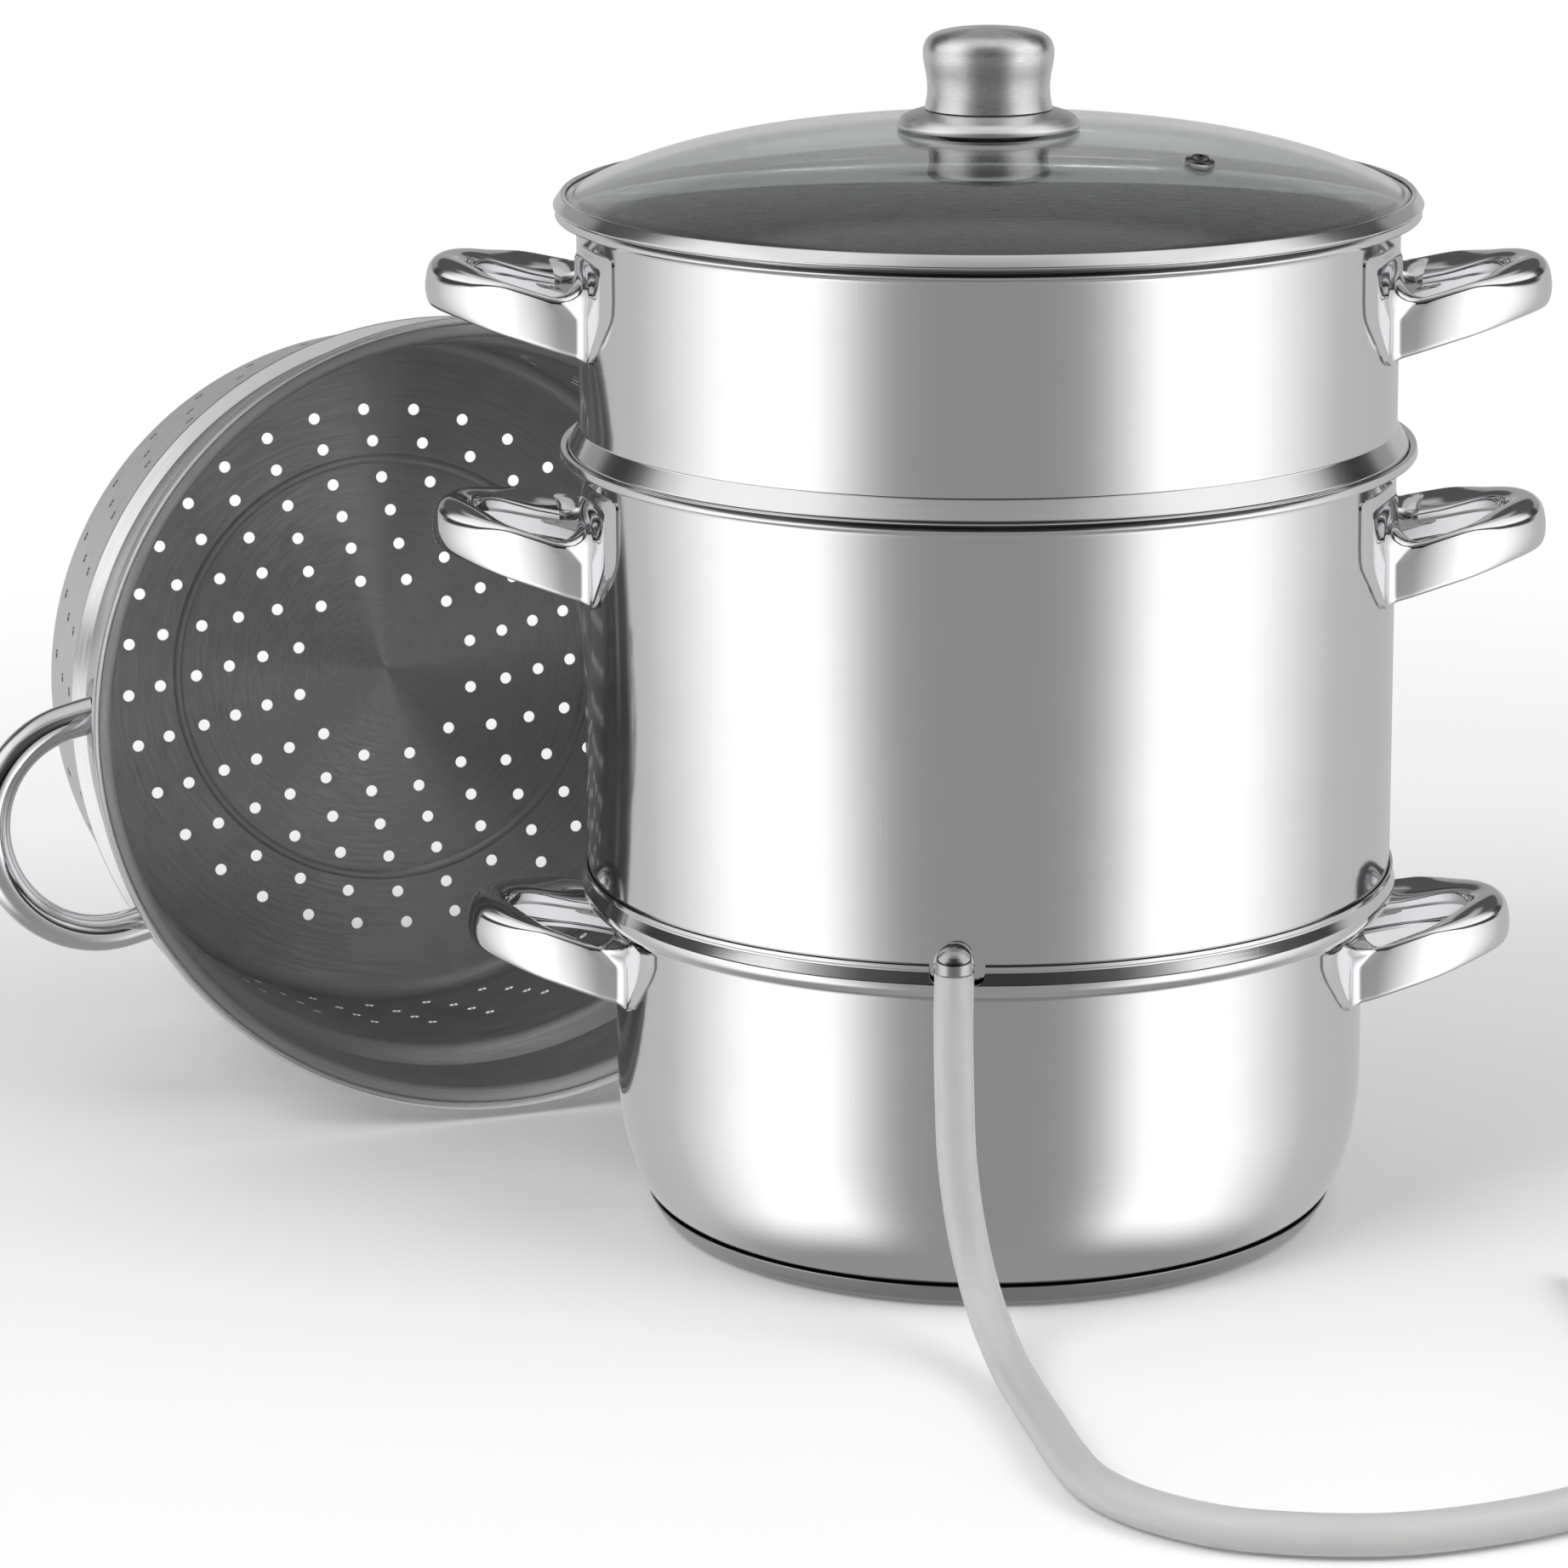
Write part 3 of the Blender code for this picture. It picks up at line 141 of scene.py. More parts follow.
# Spout and hose
SPOUT_ANGLE = math.radians(-4.2)
SPOUT_HEIGHT = 0.1210
SPOUT_REACH = 0.1415
SPOUT_RADIUS = 0.00625
SPOUT_STUB_RADIUS = 0.0038
SPOUT_STUB_RISE = -0.0010
SPOUT_DROP = 0.0025
SPOUT_BORE = 0.0028
NIPPLE_RADIUS = 0.0040
NIPPLE_LENGTH = 0.0105
HOSE_RADIUS = 0.006
HOSE_BORE = 0.0042
HOSE_STEP = 0.003
HOSE_ROUTE = (
    (-0.01036, -0.14112, 0.1182),
    (-0.0106, -0.1413, 0.100),
    (-0.0103, -0.1425, 0.080),
    (-0.0095, -0.1440, 0.060),
    (-0.0066, -0.1475, 0.0385),
    (-0.0016, -0.1580, 0.0205),
    (0.0050, -0.1780, 0.0095),
    (0.0110, -0.2010, 0.0066),
    (0.0165, -0.2240, 0.0062),
    (0.0225, -0.2500, 0.0062),
    (0.0310, -0.2735, 0.0062),
    (0.0480, -0.2930, 0.0062),
    (0.0747, -0.3062, 0.0062),
    (0.1163, -0.3078, 0.0062),
    (0.1590, -0.2915, 0.0062),
    (0.1840, -0.2700, 0.0066),
    (0.1985, -0.2440, 0.0074),
    (0.2035, -0.2150, 0.0076),
    (0.2035, -0.1900, 0.0076),
    (0.2017, -0.1650, 0.0072),
    (0.1968, -0.1400, 0.0066),
    (0.1917, -0.1130, 0.0062),
    (0.1896, -0.0850, 0.0062),
)
CLAMP = ("clamp_lower_jaw", "clamp_upper_jaw", "clamp_pin", "clamp_spring")

# Lid
GLASS_RADIUS = 0.134
GLASS_THICKNESS = 0.0035
GLASS_CROWN = 0.354
GLASS_BOW = 0.0080
GLASS_DROOP = 0.0130
GLASS_HOLE = 0.0042
VENT_SPOT = (0.0803, math.radians(-36.3))
VENT_HOLE = 0.0032
VENT_BORE = 0.0016
BAND_RADIUS = 0.1372
BAND_LAP = 0.1333
BAND_TUCK = 0.1288
BAND_LIP = 0.0047

# Knob: heights of its stacked pieces, its bore, and the grip's line as shares of radius and height
SEAL_FOOT = GLASS_CROWN + GAP
SEAL_TOP = SEAL_FOOT + 0.0008
SKIRT_FOOT = SEAL_TOP + GAP
SKIRT_TOP = SKIRT_FOOT + 0.0044
GRIP_FOOT = SKIRT_TOP + GAP
SCREW_TOP = GRIP_FOOT + 0.011
KNOB_BORE = 0.0023
SEAL_RADIUS = 0.0252
SKIRT_RADIUS = 0.0290
GRIP_RADIUS = 0.02065
GRIP_HEIGHT = 0.0251
WASHER_RADIUS = 0.019
WASHER_HEIGHT = 0.0018
KNOB_LINE = (
    (0.975, 0.0), (0.950, 0.10), (0.936, 0.20), (0.937, 0.31), (0.952, 0.42), (0.978, 0.53), (0.998, 0.64),
    (0.995, 0.75), (0.940, 0.86), (0.82, 0.93), (0.62, 0.970), (0.34, 0.992), (0.0, 1.0),
)

# Loose strainer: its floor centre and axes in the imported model
STRAINER_FRAME = Matrix((
    (0.907464, -0.246661, 0.340099, -0.221735),
    (0.355630, 0.019983, -0.934413, 0.240051),
    (0.223687, 0.968896, 0.105854, 0.122799),
    (0.0, 0.0, 0.0, 1.0),
))
TUBE_RADIUS = 0.0062
TUBE_BORE = 0.0048
TUBE_REACH = 0.0404
TUBE_SPREAD = 0.037
TUBE_STRAIGHT = 0.008
BRACKET_DROP = 0.031
BRACKET_LONG = 0.024
BRACKET_WIDE = 0.016
BRACKET_SHEET = 0.0015
BRACKET_LINE = ((0.985, 0.0), (1.0, 0.35), (0.985, 0.8), (0.94, 1.0), (0.5, 1.0))

# Relief of the steel: waves of pressing, brushing and scratches
WAVE_HEIGHT = 0.0006
BRUSH_HEIGHT = 0.00005
SCRATCH_HEIGHT = 0.00004

# White table and lamps
WHITE = (1.0, 1.0, 1.0, 1.0)
FLOOR_HALF = 6.0
FLOOR_DROP = 0.0002
FLOOR_FADE = (0.35, 1.1)
LAMP_SIZE = 1.2
LAMP_AIM = (0.0, 0.0, 0.15)

# Light tent: each band fades in between two rises (-1 is straight down, 1 is straight up), and has
# levels of light by the way round, from 0 at the camera's side to 1 behind the juicer
TENT_FOOT = 0.38
TENT_BANDS = (
    (-0.85, -0.58, (
        (0.0, 0.36), (0.13, 0.36), (0.20, 0.75), (0.27, 1.6), (0.42, 1.6), (0.52, 1.1), (0.64, 0.62),
        (1.0, 0.55),
    )),
    (0.06, 0.14, (
        (0.0, 0.05), (0.20, 0.05), (0.28, 0.5), (0.34, 1.4), (0.56, 1.4), (0.62, 0.9), (0.64, 0.04),
        (0.73, 0.04), (0.76, 0.42), (1.0, 0.42),
    )),
    (0.32, 0.40, (
        (0.0, 0.10), (0.14, 0.10), (0.24, 0.8), (0.32, 1.3), (0.54, 1.3), (0.61, 0.6), (0.65, 0.10),
        (0.73, 0.12), (1.0, 0.10),
    )),
    (0.68, 0.77, (
        (0.0, 0.44), (0.14, 0.46), (0.28, 1.1), (0.5, 1.1), (0.7, 0.6), (1.0, 0.6),
    )),
)
TENT_TOP = 0.80
TENT_TOP_START = (0.84, 0.95)
SEAM_RISE = 0.10
SEAM_HALF = (0.05, 0.10)
SEAM_LEVEL = 0.06
SEAM_END = (0.60, 0.70)


# Placing, and the camera

def placed(name, data):
    """A new object in the scene."""
    thing = bpy.data.objects.new(name, data)
    bpy.context.scene.collection.objects.link(thing)
    return thing


def place_camera():
    data = bpy.data.cameras.new("camera")
    camera = placed("camera", data)
    camera.location = CAMERA_PLACE
    camera.rotation_euler = (CAMERA_TILT, 0.0, 0.0)
    data.sensor_width = CAMERA_SENSOR
    data.lens = CAMERA_LENS
    data.shift_x = CAMERA_SHIFT
    data.clip_end = CAMERA_REACH
    bpy.context.scene.camera = camera


# Nodes

def feed(tree, socket, value):
    """Links an output to a socket, or sets the socket to a plain value."""
    if isinstance(value, bpy.types.NodeSocket):
        tree.links.new(value, socket)
    else:
        socket.default_value = value


def add_node(tree, kind, settings=None, **inputs):
    """A node with settings, whose inputs (spaces as underscores) get values or links."""
    made = tree.nodes.new(kind)
    for key, value in (settings or {}).items():
        setattr(made, key, value)
    for key, value in inputs.items():
        feed(tree, made.inputs[key.replace("_", " ")], value)
    return made


def maths(tree, operation, first, second=0.0):
    """One step of arithmetic on values or links."""
    made = tree.nodes.new("ShaderNodeMath")
    made.operation = operation
    for socket, value in zip(made.inputs, (first, second), strict=False):
        feed(tree, socket, value)
    return made.outputs[0]


def remap(tree, value, low, high, to_low=0.0, to_high=1.0):
    """A value eased from one range into another, and held at its ends."""
    made = add_node(
        tree, "ShaderNodeMapRange", {"interpolation_type": "SMOOTHSTEP"},
        Value=value, From_Min=low, From_Max=high, To_Min=to_low, To_Max=to_high,
    )
    return made.outputs[0]


def blend(tree, share, first, second):
    """A value between two others."""
    made = add_node(tree, "ShaderNodeMix", {"data_type": "FLOAT"}, Factor=share)
    for socket, value in zip(made.inputs[2:4], (first, second), strict=True):
        feed(tree, socket, value)
    return made.outputs[0]


def two_tone(tree, share, first, second):
    """A colour between two others."""
    made = add_node(tree, "ShaderNodeMix", {"data_type": "RGBA"}, Factor=share)
    made.inputs[6].default_value = (*first, 1.0)
    made.inputs[7].default_value = (*second, 1.0)
    return made.outputs[2]


def join_shaders(tree, share, first, second):
    """A shader between two others."""
    made = add_node(tree, "ShaderNodeMixShader")
    for socket, value in zip(made.inputs, (share, first, second), strict=True):
        feed(tree, socket, value)
    return made.outputs[0]


def piece_spot(tree):
    """The place on the piece, in metres."""
    return add_node(tree, "ShaderNodeTexCoord").outputs["Object"]


def group(name, inputs, outputs):
    """An empty shader group with float inputs (name, default) and outputs (name, socket type)."""
    tree = bpy.data.node_groups.new(name, "ShaderNodeTree")
    for label, value in inputs:
        socket = tree.interface.new_socket(name=label, in_out="INPUT", socket_type="NodeSocketFloat")
        socket.default_value = value
    for label, kind in outputs:
        tree.interface.new_socket(name=label, in_out="OUTPUT", socket_type=kind)
    return tree, tree.nodes.new("NodeGroupInput"), tree.nodes.new("NodeGroupOutput")


def brush_lines_group():
    """Fine hairlines that run round the Z axis of Place, as if the piece had been brushed on a lathe."""
    tree, given, out = group(
        "brush_lines",
        [("Fineness", 2600.0), ("Length", 5.0), ("Patchiness", 0.5)],
        [("Lines", "NodeSocketFloat"), ("Patches", "NodeSocketFloat")],
    )
    tree.interface.new_socket(name="Place", in_out="INPUT", socket_type="NodeSocketVector")
    parts = add_node(tree, "ShaderNodeSeparateXYZ", Vector=given.outputs["Place"]).outputs
    flat = maths(tree, "MULTIPLY", parts["X"], parts["X"])
    flat = maths(tree, "ADD", flat, maths(tree, "MULTIPLY", parts["Y"], parts["Y"]))
    radius = maths(tree, "SQRT", flat)
    along = maths(tree, "MULTIPLY", maths(tree, "ADD", radius, parts["Z"]), given.outputs["Fineness"])
    turn = maths(tree, "ARCTAN2", parts["Y"], parts["X"])
    around = maths(tree, "MULTIPLY", turn, given.outputs["Length"])
    place = add_node(tree, "ShaderNodeCombineXYZ", X=along, Y=around).outputs[0]
    fine = add_node(tree, "ShaderNodeTexNoise", Vector=place, Scale=1.0, Detail=3.0, Roughness=0.6)
    patch_spot = add_node(
        tree, "ShaderNodeCombineXYZ", X=maths(tree, "MULTIPLY", along, 0.06), Y=around
    ).outputs[0]
    broad = add_node(tree, "ShaderNodeTexNoise", Vector=patch_spot, Scale=0.6, Detail=2.0)
    tree.links.new(fine.outputs[0], out.inputs["Lines"])
    spread = maths(tree, "SUBTRACT", broad.outputs[0], 0.5)
    spread = maths(tree, "MULTIPLY", spread, given.outputs["Patchiness"])
    tree.links.new(maths(tree, "ADD", spread, 0.5), out.inputs["Patches"])
    return tree


def handling_group():
    """Marks of use: faint smears from hands and cloths, and sparse hairline scratches."""
    tree, given, out = group(
        "handling_marks",
        [("Smears", 0.5), ("Scratches", 0.5)],
        [("Dulling", "NodeSocketFloat"), ("Relief", "NodeSocketFloat")],
    )
    spot = piece_spot(tree)
    smear = add_node(
        tree, "ShaderNodeTexNoise", Vector=spot, Scale=16.0, Detail=5.0, Roughness=0.62, Distortion=0.9
    ).outputs[0]
    smear = maths(tree, "MULTIPLY", remap(tree, smear, 0.46, 0.72), given.outputs["Smears"])
    marks = None
    for turn, size in (((0.3, 0.5, 0.2), (14.0, 900.0, 60.0)), ((0.9, 0.1, 1.1), (700.0, 16.0, 50.0))):
        drawn = add_node(tree, "ShaderNodeMapping", Vector=spot, Rotation=turn, Scale=size).outputs[0]
        line = add_node(tree, "ShaderNodeTexNoise", Vector=drawn, Scale=1.0, Detail=1.0).outputs[0]
        line = remap(tree, line, 0.70, 0.78)
        marks = line if marks is None else maths(tree, "MAXIMUM", marks, line)
    marks = maths(tree, "MULTIPLY", marks, given.outputs["Scratches"])
    tree.links.new(maths(tree, "ADD", smear, maths(tree, "MULTIPLY", marks, 0.5)), out.inputs["Dulling"])
    tree.links.new(marks, out.inputs["Relief"])
    return tree


def new_finish(name):
    """A new material, its nodes and its main shader."""
    made = bpy.data.materials.new(name)
    made.use_nodes = True
    tree = made.node_tree
    return made, tree, tree.nodes["Principled BSDF"]


def turned_place(tree, lathe):
    """Object coordinates seen from the lathe's own frame."""
    spot = piece_spot(tree)
    if lathe is None:
        return spot
    back = lathe.inverted()
    return add_node(
        tree, "ShaderNodeMapping", Vector=spot, Location=back.translation, Rotation=back.to_euler()
    ).outputs[0]


def turning_way(tree, place, lathe):
    """The way that the piece turned on the lathe, along which brushed steel draws out its gloss."""
    parts = add_node(tree, "ShaderNodeSeparateXYZ", Vector=place).outputs
    back = maths(tree, "MULTIPLY", parts["Y"], -1.0)
    way = add_node(tree, "ShaderNodeCombineXYZ", X=back, Y=parts["X"]).outputs[0]
    if lathe is not None:
        way = add_node(
            tree, "ShaderNodeMapping", {"vector_type": "VECTOR"}, Vector=way, Rotation=lathe.to_euler()
        ).outputs[0]
    return add_node(
        tree, "ShaderNodeVectorTransform",
        {"vector_type": "VECTOR", "convert_from": "OBJECT", "convert_to": "WORLD"}, Vector=way,
    ).outputs[0]


def steel(name, colour, roughness, dulling, brush, brush_bump, wave, lathe=None, drawn=0.0, grain=0.0):
    """Stainless steel: a base roughness, marks of use, lathe brushing and the soft waves of pressing."""
    made, tree, shader = new_finish(name)
    shader.inputs["Metallic"].default_value = 1.0
    place = turned_place(tree, lathe)
    if drawn:
        shader.inputs["Anisotropic"].default_value = drawn
        shader.inputs["Anisotropic Rotation"].default_value = 0.25
        tree.links.new(turning_way(tree, place, lathe), shader.inputs["Tangent"])
    lines = add_node(
        tree, "ShaderNodeGroup", {"node_tree": GROUPS["brush_lines"]}, Fineness=brush, Place=place
    )
    marks = add_node(tree, "ShaderNodeGroup", {"node_tree": GROUPS["handling_marks"]})
    streak = remap(tree, lines.outputs["Lines"], 0.25, 0.75)
    rough = maths(tree, "MULTIPLY", marks.outputs["Dulling"], dulling)
    rough = maths(tree, "ADD", rough, maths(tree, "MULTIPLY", streak, roughness * 0.35))
    rough = maths(tree, "ADD", rough, roughness * 0.8)
    tree.links.new(rough, shader.inputs["Roughness"])
    darker = tuple(part * (0.90 - grain) for part in colour)
    share = blend(tree, 2 * grain, lines.outputs["Patches"], streak)
    tree.links.new(two_tone(tree, share, darker, colour), shader.inputs["Base Color"])
    spot = piece_spot(tree)
    swell = add_node(tree, "ShaderNodeTexNoise", Vector=spot, Scale=9.0, Detail=1.0).outputs[0]
    relief = add_node(
        tree, "ShaderNodeBump", Height=swell, Strength=wave, Distance=WAVE_HEIGHT
    ).outputs[0]
    relief = add_node(
        tree, "ShaderNodeBump", Height=streak, Strength=brush_bump, Distance=BRUSH_HEIGHT, Normal=relief
    ).outputs[0]
    relief = add_node(
        tree, "ShaderNodeBump", Height=marks.outputs["Relief"], Strength=0.12,
        Distance=SCRATCH_HEIGHT, Normal=relief,
    ).outputs[0]
    tree.links.new(relief, shader.inputs["Normal"])
    return made


def lid_glass_finish():
    """Clear tempered glass with a faint grey tint and a few wiping smears."""
    made, tree, shader = new_finish("lid_glass_clear")
    shader.inputs["Base Color"].default_value = (0.64, 0.66, 0.655, 1.0)
    shader.inputs["Transmission Weight"].default_value = 1.0
    shader.inputs["IOR"].default_value = 1.5
    marks = add_node(tree, "ShaderNodeGroup", {"node_tree": GROUPS["handling_marks"]}, Smears=0.35)
    dull = maths(tree, "MULTIPLY", marks.outputs["Dulling"], 0.06)
    tree.links.new(dull, shader.inputs["Roughness"])
    scratched = add_node(
        tree, "ShaderNodeBump", Height=marks.outputs["Relief"], Strength=0.05, Distance=SCRATCH_HEIGHT
    )
    tree.links.new(scratched.outputs[0], shader.inputs["Normal"])
    return made


def silicone_finish():
    """Milky translucent silicone with a slightly dusty skin."""
    made, tree, shader = new_finish("silicone_milky")
    shader.inputs["Transmission Weight"].default_value = 0.62
    shader.inputs["IOR"].default_value = 1.41
    spot = piece_spot(tree)
    dust = add_node(tree, "ShaderNodeTexNoise", Vector=spot, Scale=60.0, Detail=3.0).outputs[0]
    tree.links.new(remap(tree, dust, 0.3, 0.7, 0.38, 0.43), shader.inputs["Roughness"])
    milky = two_tone(tree, dust, (0.80, 0.80, 0.795), (0.84, 0.84, 0.835))
    tree.links.new(milky, shader.inputs["Base Color"])
    return made


# Mesh helpers

def mesh_from(shape, name, angle=38):
    """A smooth-shaded mesh from a bmesh, which it frees."""
    data = bpy.data.meshes.new(name)
    shape.to_mesh(data)
    shape.free()
    data.shade_smooth()
    data.set_sharp_from_angle(angle=math.radians(angle))
    return data


def add_piece(name, data, finishes, body, nodes=(), matrix=None):
    """A piece that rides on a body, stands for CAD nodes and takes a finish for each material slot."""
    if matrix is not None:
        data.transform(matrix)
    thing = placed(name, data)
    while len(data.materials) > len(finishes):
        data.materials.pop()
    while len(data.materials) < len(finishes):
        data.materials.append(None)
    for index, finish in enumerate(finishes):
        data.materials[index] = FINISHES[finish]
    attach(thing, body)
    if nodes:
        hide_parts(*nodes)
    return thing


def ring(shape, radius, height, count, start=0.0):
    """A level ring of points round the Z axis, or one point on the axis."""
    if radius == 0:
        return [shape.verts.new((0, 0, height))]
    corners = []
    for index in range(count):
        angle = start + math.tau * index / count
        corners.append(shape.verts.new((radius * math.cos(angle), radius * math.sin(angle), height)))
    return corners


def skin(shape, lower, upper):
    """Quads between two rings, facing out when the second lies farther along the outer line."""
    count = max(len(lower), len(upper))
    for index in range(count):
        after = (index + 1) % count
        if len(lower) == 1:
            shape.faces.new((lower[0], upper[after], upper[index]))
        elif len(upper) == 1:
            shape.faces.new((lower[index], lower[after], upper[0]))
        else:
            shape.faces.new((lower[index], lower[after], upper[after], upper[index]))


def zip_rings(shape, inner, outer):
    """Triangles between two rings of unlike counts."""
    here, there = 0, 0
    while here < len(inner) or there < len(outer):
        near = inner[here % len(inner)]
        far = outer[there % len(outer)]
        if (there + 1) / len(outer) <= (here + 1) / len(inner):
            shape.faces.new((near, outer[(there + 1) % len(outer)], far))
            there += 1
        else:
            shape.faces.new((near, inner[(here + 1) % len(inner)], far))
            here += 1


def bend(start, corner, end, steps=8):
    """Points on a smooth bend from start to end that heads for the corner first."""
    points = []
    for index in range(steps + 1):
        t = index / steps
        points.append(tuple(
            (1 - t) ** 2 * a + 2 * t * (1 - t) * b + t * t * c
            for a, b, c in zip(start, corner, end, strict=True)
        ))
    return points


def eased(corners, closed=False, steps=6):
    """A line of (radius, height, ease): each corner is rounded over that distance either way."""
    points = []
    count = len(corners)
    for index, (radius, height, ease) in enumerate(corners):
        here = Vector((radius, height))
        if ease == 0 or (not closed and index in (0, count - 1)):
            points.append(tuple(here))
            continue
        back = Vector(corners[index - 1][:2]) - here
        ahead = Vector(corners[(index + 1) % count][:2]) - here
        start = here + back.normalized() * min(ease, back.length * 0.45)
        end = here + ahead.normalized() * min(ease, ahead.length * 0.45)
        points += bend(tuple(start), tuple(here), tuple(end), steps)
    return points


def arc(centre, radius, first, last, steps):
    """Points on an arc round (radius, height), between two angles in degrees."""
    points = []
    for index in range(steps + 1):
        angle = math.radians(first + (last - first) * index / steps)
        points.append((centre[0] + radius * math.cos(angle), centre[1] + radius * math.sin(angle)))
    return points


def quarter(start, width, height, steps=12):
    """Points on a quarter oval that leaves start outwards and ends straight up."""
    points = []
    for index in range(steps + 1):
        angle = math.pi / 2 * index / steps
        points.append((start[0] + width * math.sin(angle), start[1] + height * (1 - math.cos(angle))))
    return points


def turned(name, loop, count=ROUND):
    """A closed turned solid from a closed line of (radius, height)."""
    shape = bmesh.new()
    rings = [ring(shape, radius, height, count) for radius, height in loop]
    for lower, upper in zip(rings, rings[1:] + rings[:1], strict=True):
        if len(lower) > 1 or len(upper) > 1:
            skin(shape, lower, upper)
    bmesh.ops.recalc_face_normals(shape, faces=shape.faces)
    return mesh_from(shape, name)


def add_turned(name, loop, finish, body, node, count=ROUND, matrix=None):
    """A closed turned piece in one finish, which stands for one CAD node or none."""
    nodes = [node] if node else ()
    return add_piece(name, turned(name, loop, count), (finish,), body, nodes, matrix)


def turned_line(shape, line, count, last=None, start=0.0):
    """Adds a turned open line to a shape, and joins it to an earlier ring if one is given."""
    for radius, height in line:
        following = ring(shape, radius, height, count, start)
        if last is not None:
            if len(last) == len(following) or 1 in (len(last), len(following)):
                skin(shape, last, following)
            else:
                zip_rings(shape, last, following)
        last = following
    return last


def baked(name, data, sheet=0.0, cuts=()):
    """The mesh after its thickness is added to the inside, in its second material, and after its cuts."""
    thing = placed(name + "_blank", data)
    if not data.materials:
        data.materials.append(FINISHES["polished"])
        data.materials.append(FINISHES["satin"])
    if sheet:
        step = thing.modifiers.new("sheet", "SOLIDIFY")
        step.thickness = sheet
        step.offset = -1
        step.material_offset = 1
    tools = []
    for index, (tool_data, matrix) in enumerate(cuts):
        tool = placed(f"{name}_cut_{index}", tool_data)
        tool.matrix_world = matrix
        cut = thing.modifiers.new("cut", "BOOLEAN")
        cut.operation = "DIFFERENCE"
        cut.solver = "FAST"
        cut.object = tool
        tools.append(tool)
    graph = bpy.context.evaluated_depsgraph_get()
    graph.update()
    result = bpy.data.meshes.new_from_object(thing.evaluated_get(graph))
    for other in [thing, *tools]:
        bpy.data.objects.remove(other, do_unlink=True)
    result.name = name
    result.shade_smooth()
    result.set_sharp_from_angle(angle=math.radians(38))
    return result


def turned_sheet(name, line, sheet=SHEET, cuts=()):
    """A turned vessel from its outer line, with the sheet to the left of it in the second material."""
    inner = []
    for index, point in enumerate(line):
        here = Vector(point)
        ways = []
        if index:
            ways.append((here - Vector(line[index - 1])).normalized())
        if index < len(line) - 1:
            ways.append((Vector(line[index + 1]) - here).normalized())
        way = sum(ways, Vector((0.0, 0.0))).normalized()
        spot = here + Vector((-way.y, way.x)) * sheet / max(way.dot(ways[0]), 0.5)
        inner.append((0.0 if here.x == 0 else spot.x, spot.y))
    shape = bmesh.new()
    outside = [ring(shape, radius, height, ROUND) for radius, height in line]
    inside = [ring(shape, radius, height, ROUND) for radius, height in inner]
    for lower, upper in zip(outside, outside[1:], strict=False):
        skin(shape, lower, upper)
    skin(shape, outside[-1], inside[-1])
    if len(outside[0]) > 1:
        skin(shape, inside[0], outside[0])
    shape.faces.ensure_lookup_table()
    first = len(shape.faces)
    for lower, upper in zip(inside, inside[1:], strict=False):
        skin(shape, upper, lower)
    shape.faces.ensure_lookup_table()
    for face in shape.faces[first:]:
        face.material_index = 1
    data = mesh_from(shape, name)
    return baked(name, data, cuts=cuts) if cuts else data


def rod(name, radius, length, count=SMALL_ROUND):
    """A plain rod along Z, centred on the origin."""
    shape = bmesh.new()
    bmesh.ops.create_cone(shape, cap_ends=True, segments=count, radius1=radius, radius2=radius, depth=length)
    return mesh_from(shape, name)


# Vessels

def rim_points(top, last_angle):
    """The flange and the rolled edge above a wall, pressed flat outside so that it leans back a little."""
    centre = (RIM_RADIUS - ROLL_RADIUS, top - ROLL_RADIUS)
    foot = (TIER_RADIUS, top - FLANGE_HEIGHT)
    under = top - 2 * ROLL_RADIUS
    points = bend(foot, (TIER_RADIUS, under), (centre[0], under), 12)
    points += eased([
        (centre[0], under, 0.0),
        (RIM_RADIUS, under, 0.0007),
        (RIM_RADIUS - RIM_LEAN, top, 0.00025),
        (centre[0] - 0.0002, top, 0.0),
    ])[1:]
    return points + arc(centre, ROLL_RADIUS, 100, last_angle, 8)


def bead_points(foot):
    """The bead that a tier hangs on, from the narrow nested wall out to the full wall."""
    width = BEAD_RADIUS - NEST_RADIUS
    bulge = [
        (NEST_RADIUS + out * width, foot + up * BEAD_HEIGHT, ease) for out, up, ease in BEAD_LINE
    ]
    return eased([
        (NEST_RADIUS, foot - 0.004, 0.0),
        *bulge,
        (TIER_RADIUS, foot + 0.875 * BEAD_HEIGHT, 0.0004),
        (TIER_RADIUS, foot + 1.15 * BEAD_HEIGHT, 0.0),
    ])


def spout_frame(radius):
    """A frame on the spout's axis at a radius, whose Z points out of the wall."""
    return (
        Matrix.Rotation(SPOUT_ANGLE, 4, "Z")
        @ Matrix.Translation((0, -radius, SPOUT_HEIGHT + SPOUT_STUB_RISE))
        @ Matrix.Rotation(math.pi / 2, 4, "X")
    )


def notch_tool():
    """A round-bottomed block that cuts room for the spout out of the pot's collar."""
    outline = eased([
        (-NOTCH_HALF, NOTCH_TOOL, 0.0),
        (-NOTCH_HALF, -NOTCH_DEPTH, NOTCH_FILLET),
        (NOTCH_HALF, -NOTCH_DEPTH, NOTCH_FILLET),
        (NOTCH_HALF, NOTCH_TOOL, 0.0),
    ], steps=10)
    shape = bmesh.new()
    near = [shape.verts.new((across, -NOTCH_TOOL, rise)) for across, rise in outline]
    far = [shape.verts.new((across, NOTCH_TOOL, rise)) for across, rise in outline]
    skin(shape, near, far)
    shape.faces.new(near)
    shape.faces.new(far)
    bmesh.ops.recalc_face_normals(shape, faces=shape.faces)
    return mesh_from(shape, "notch_tool")


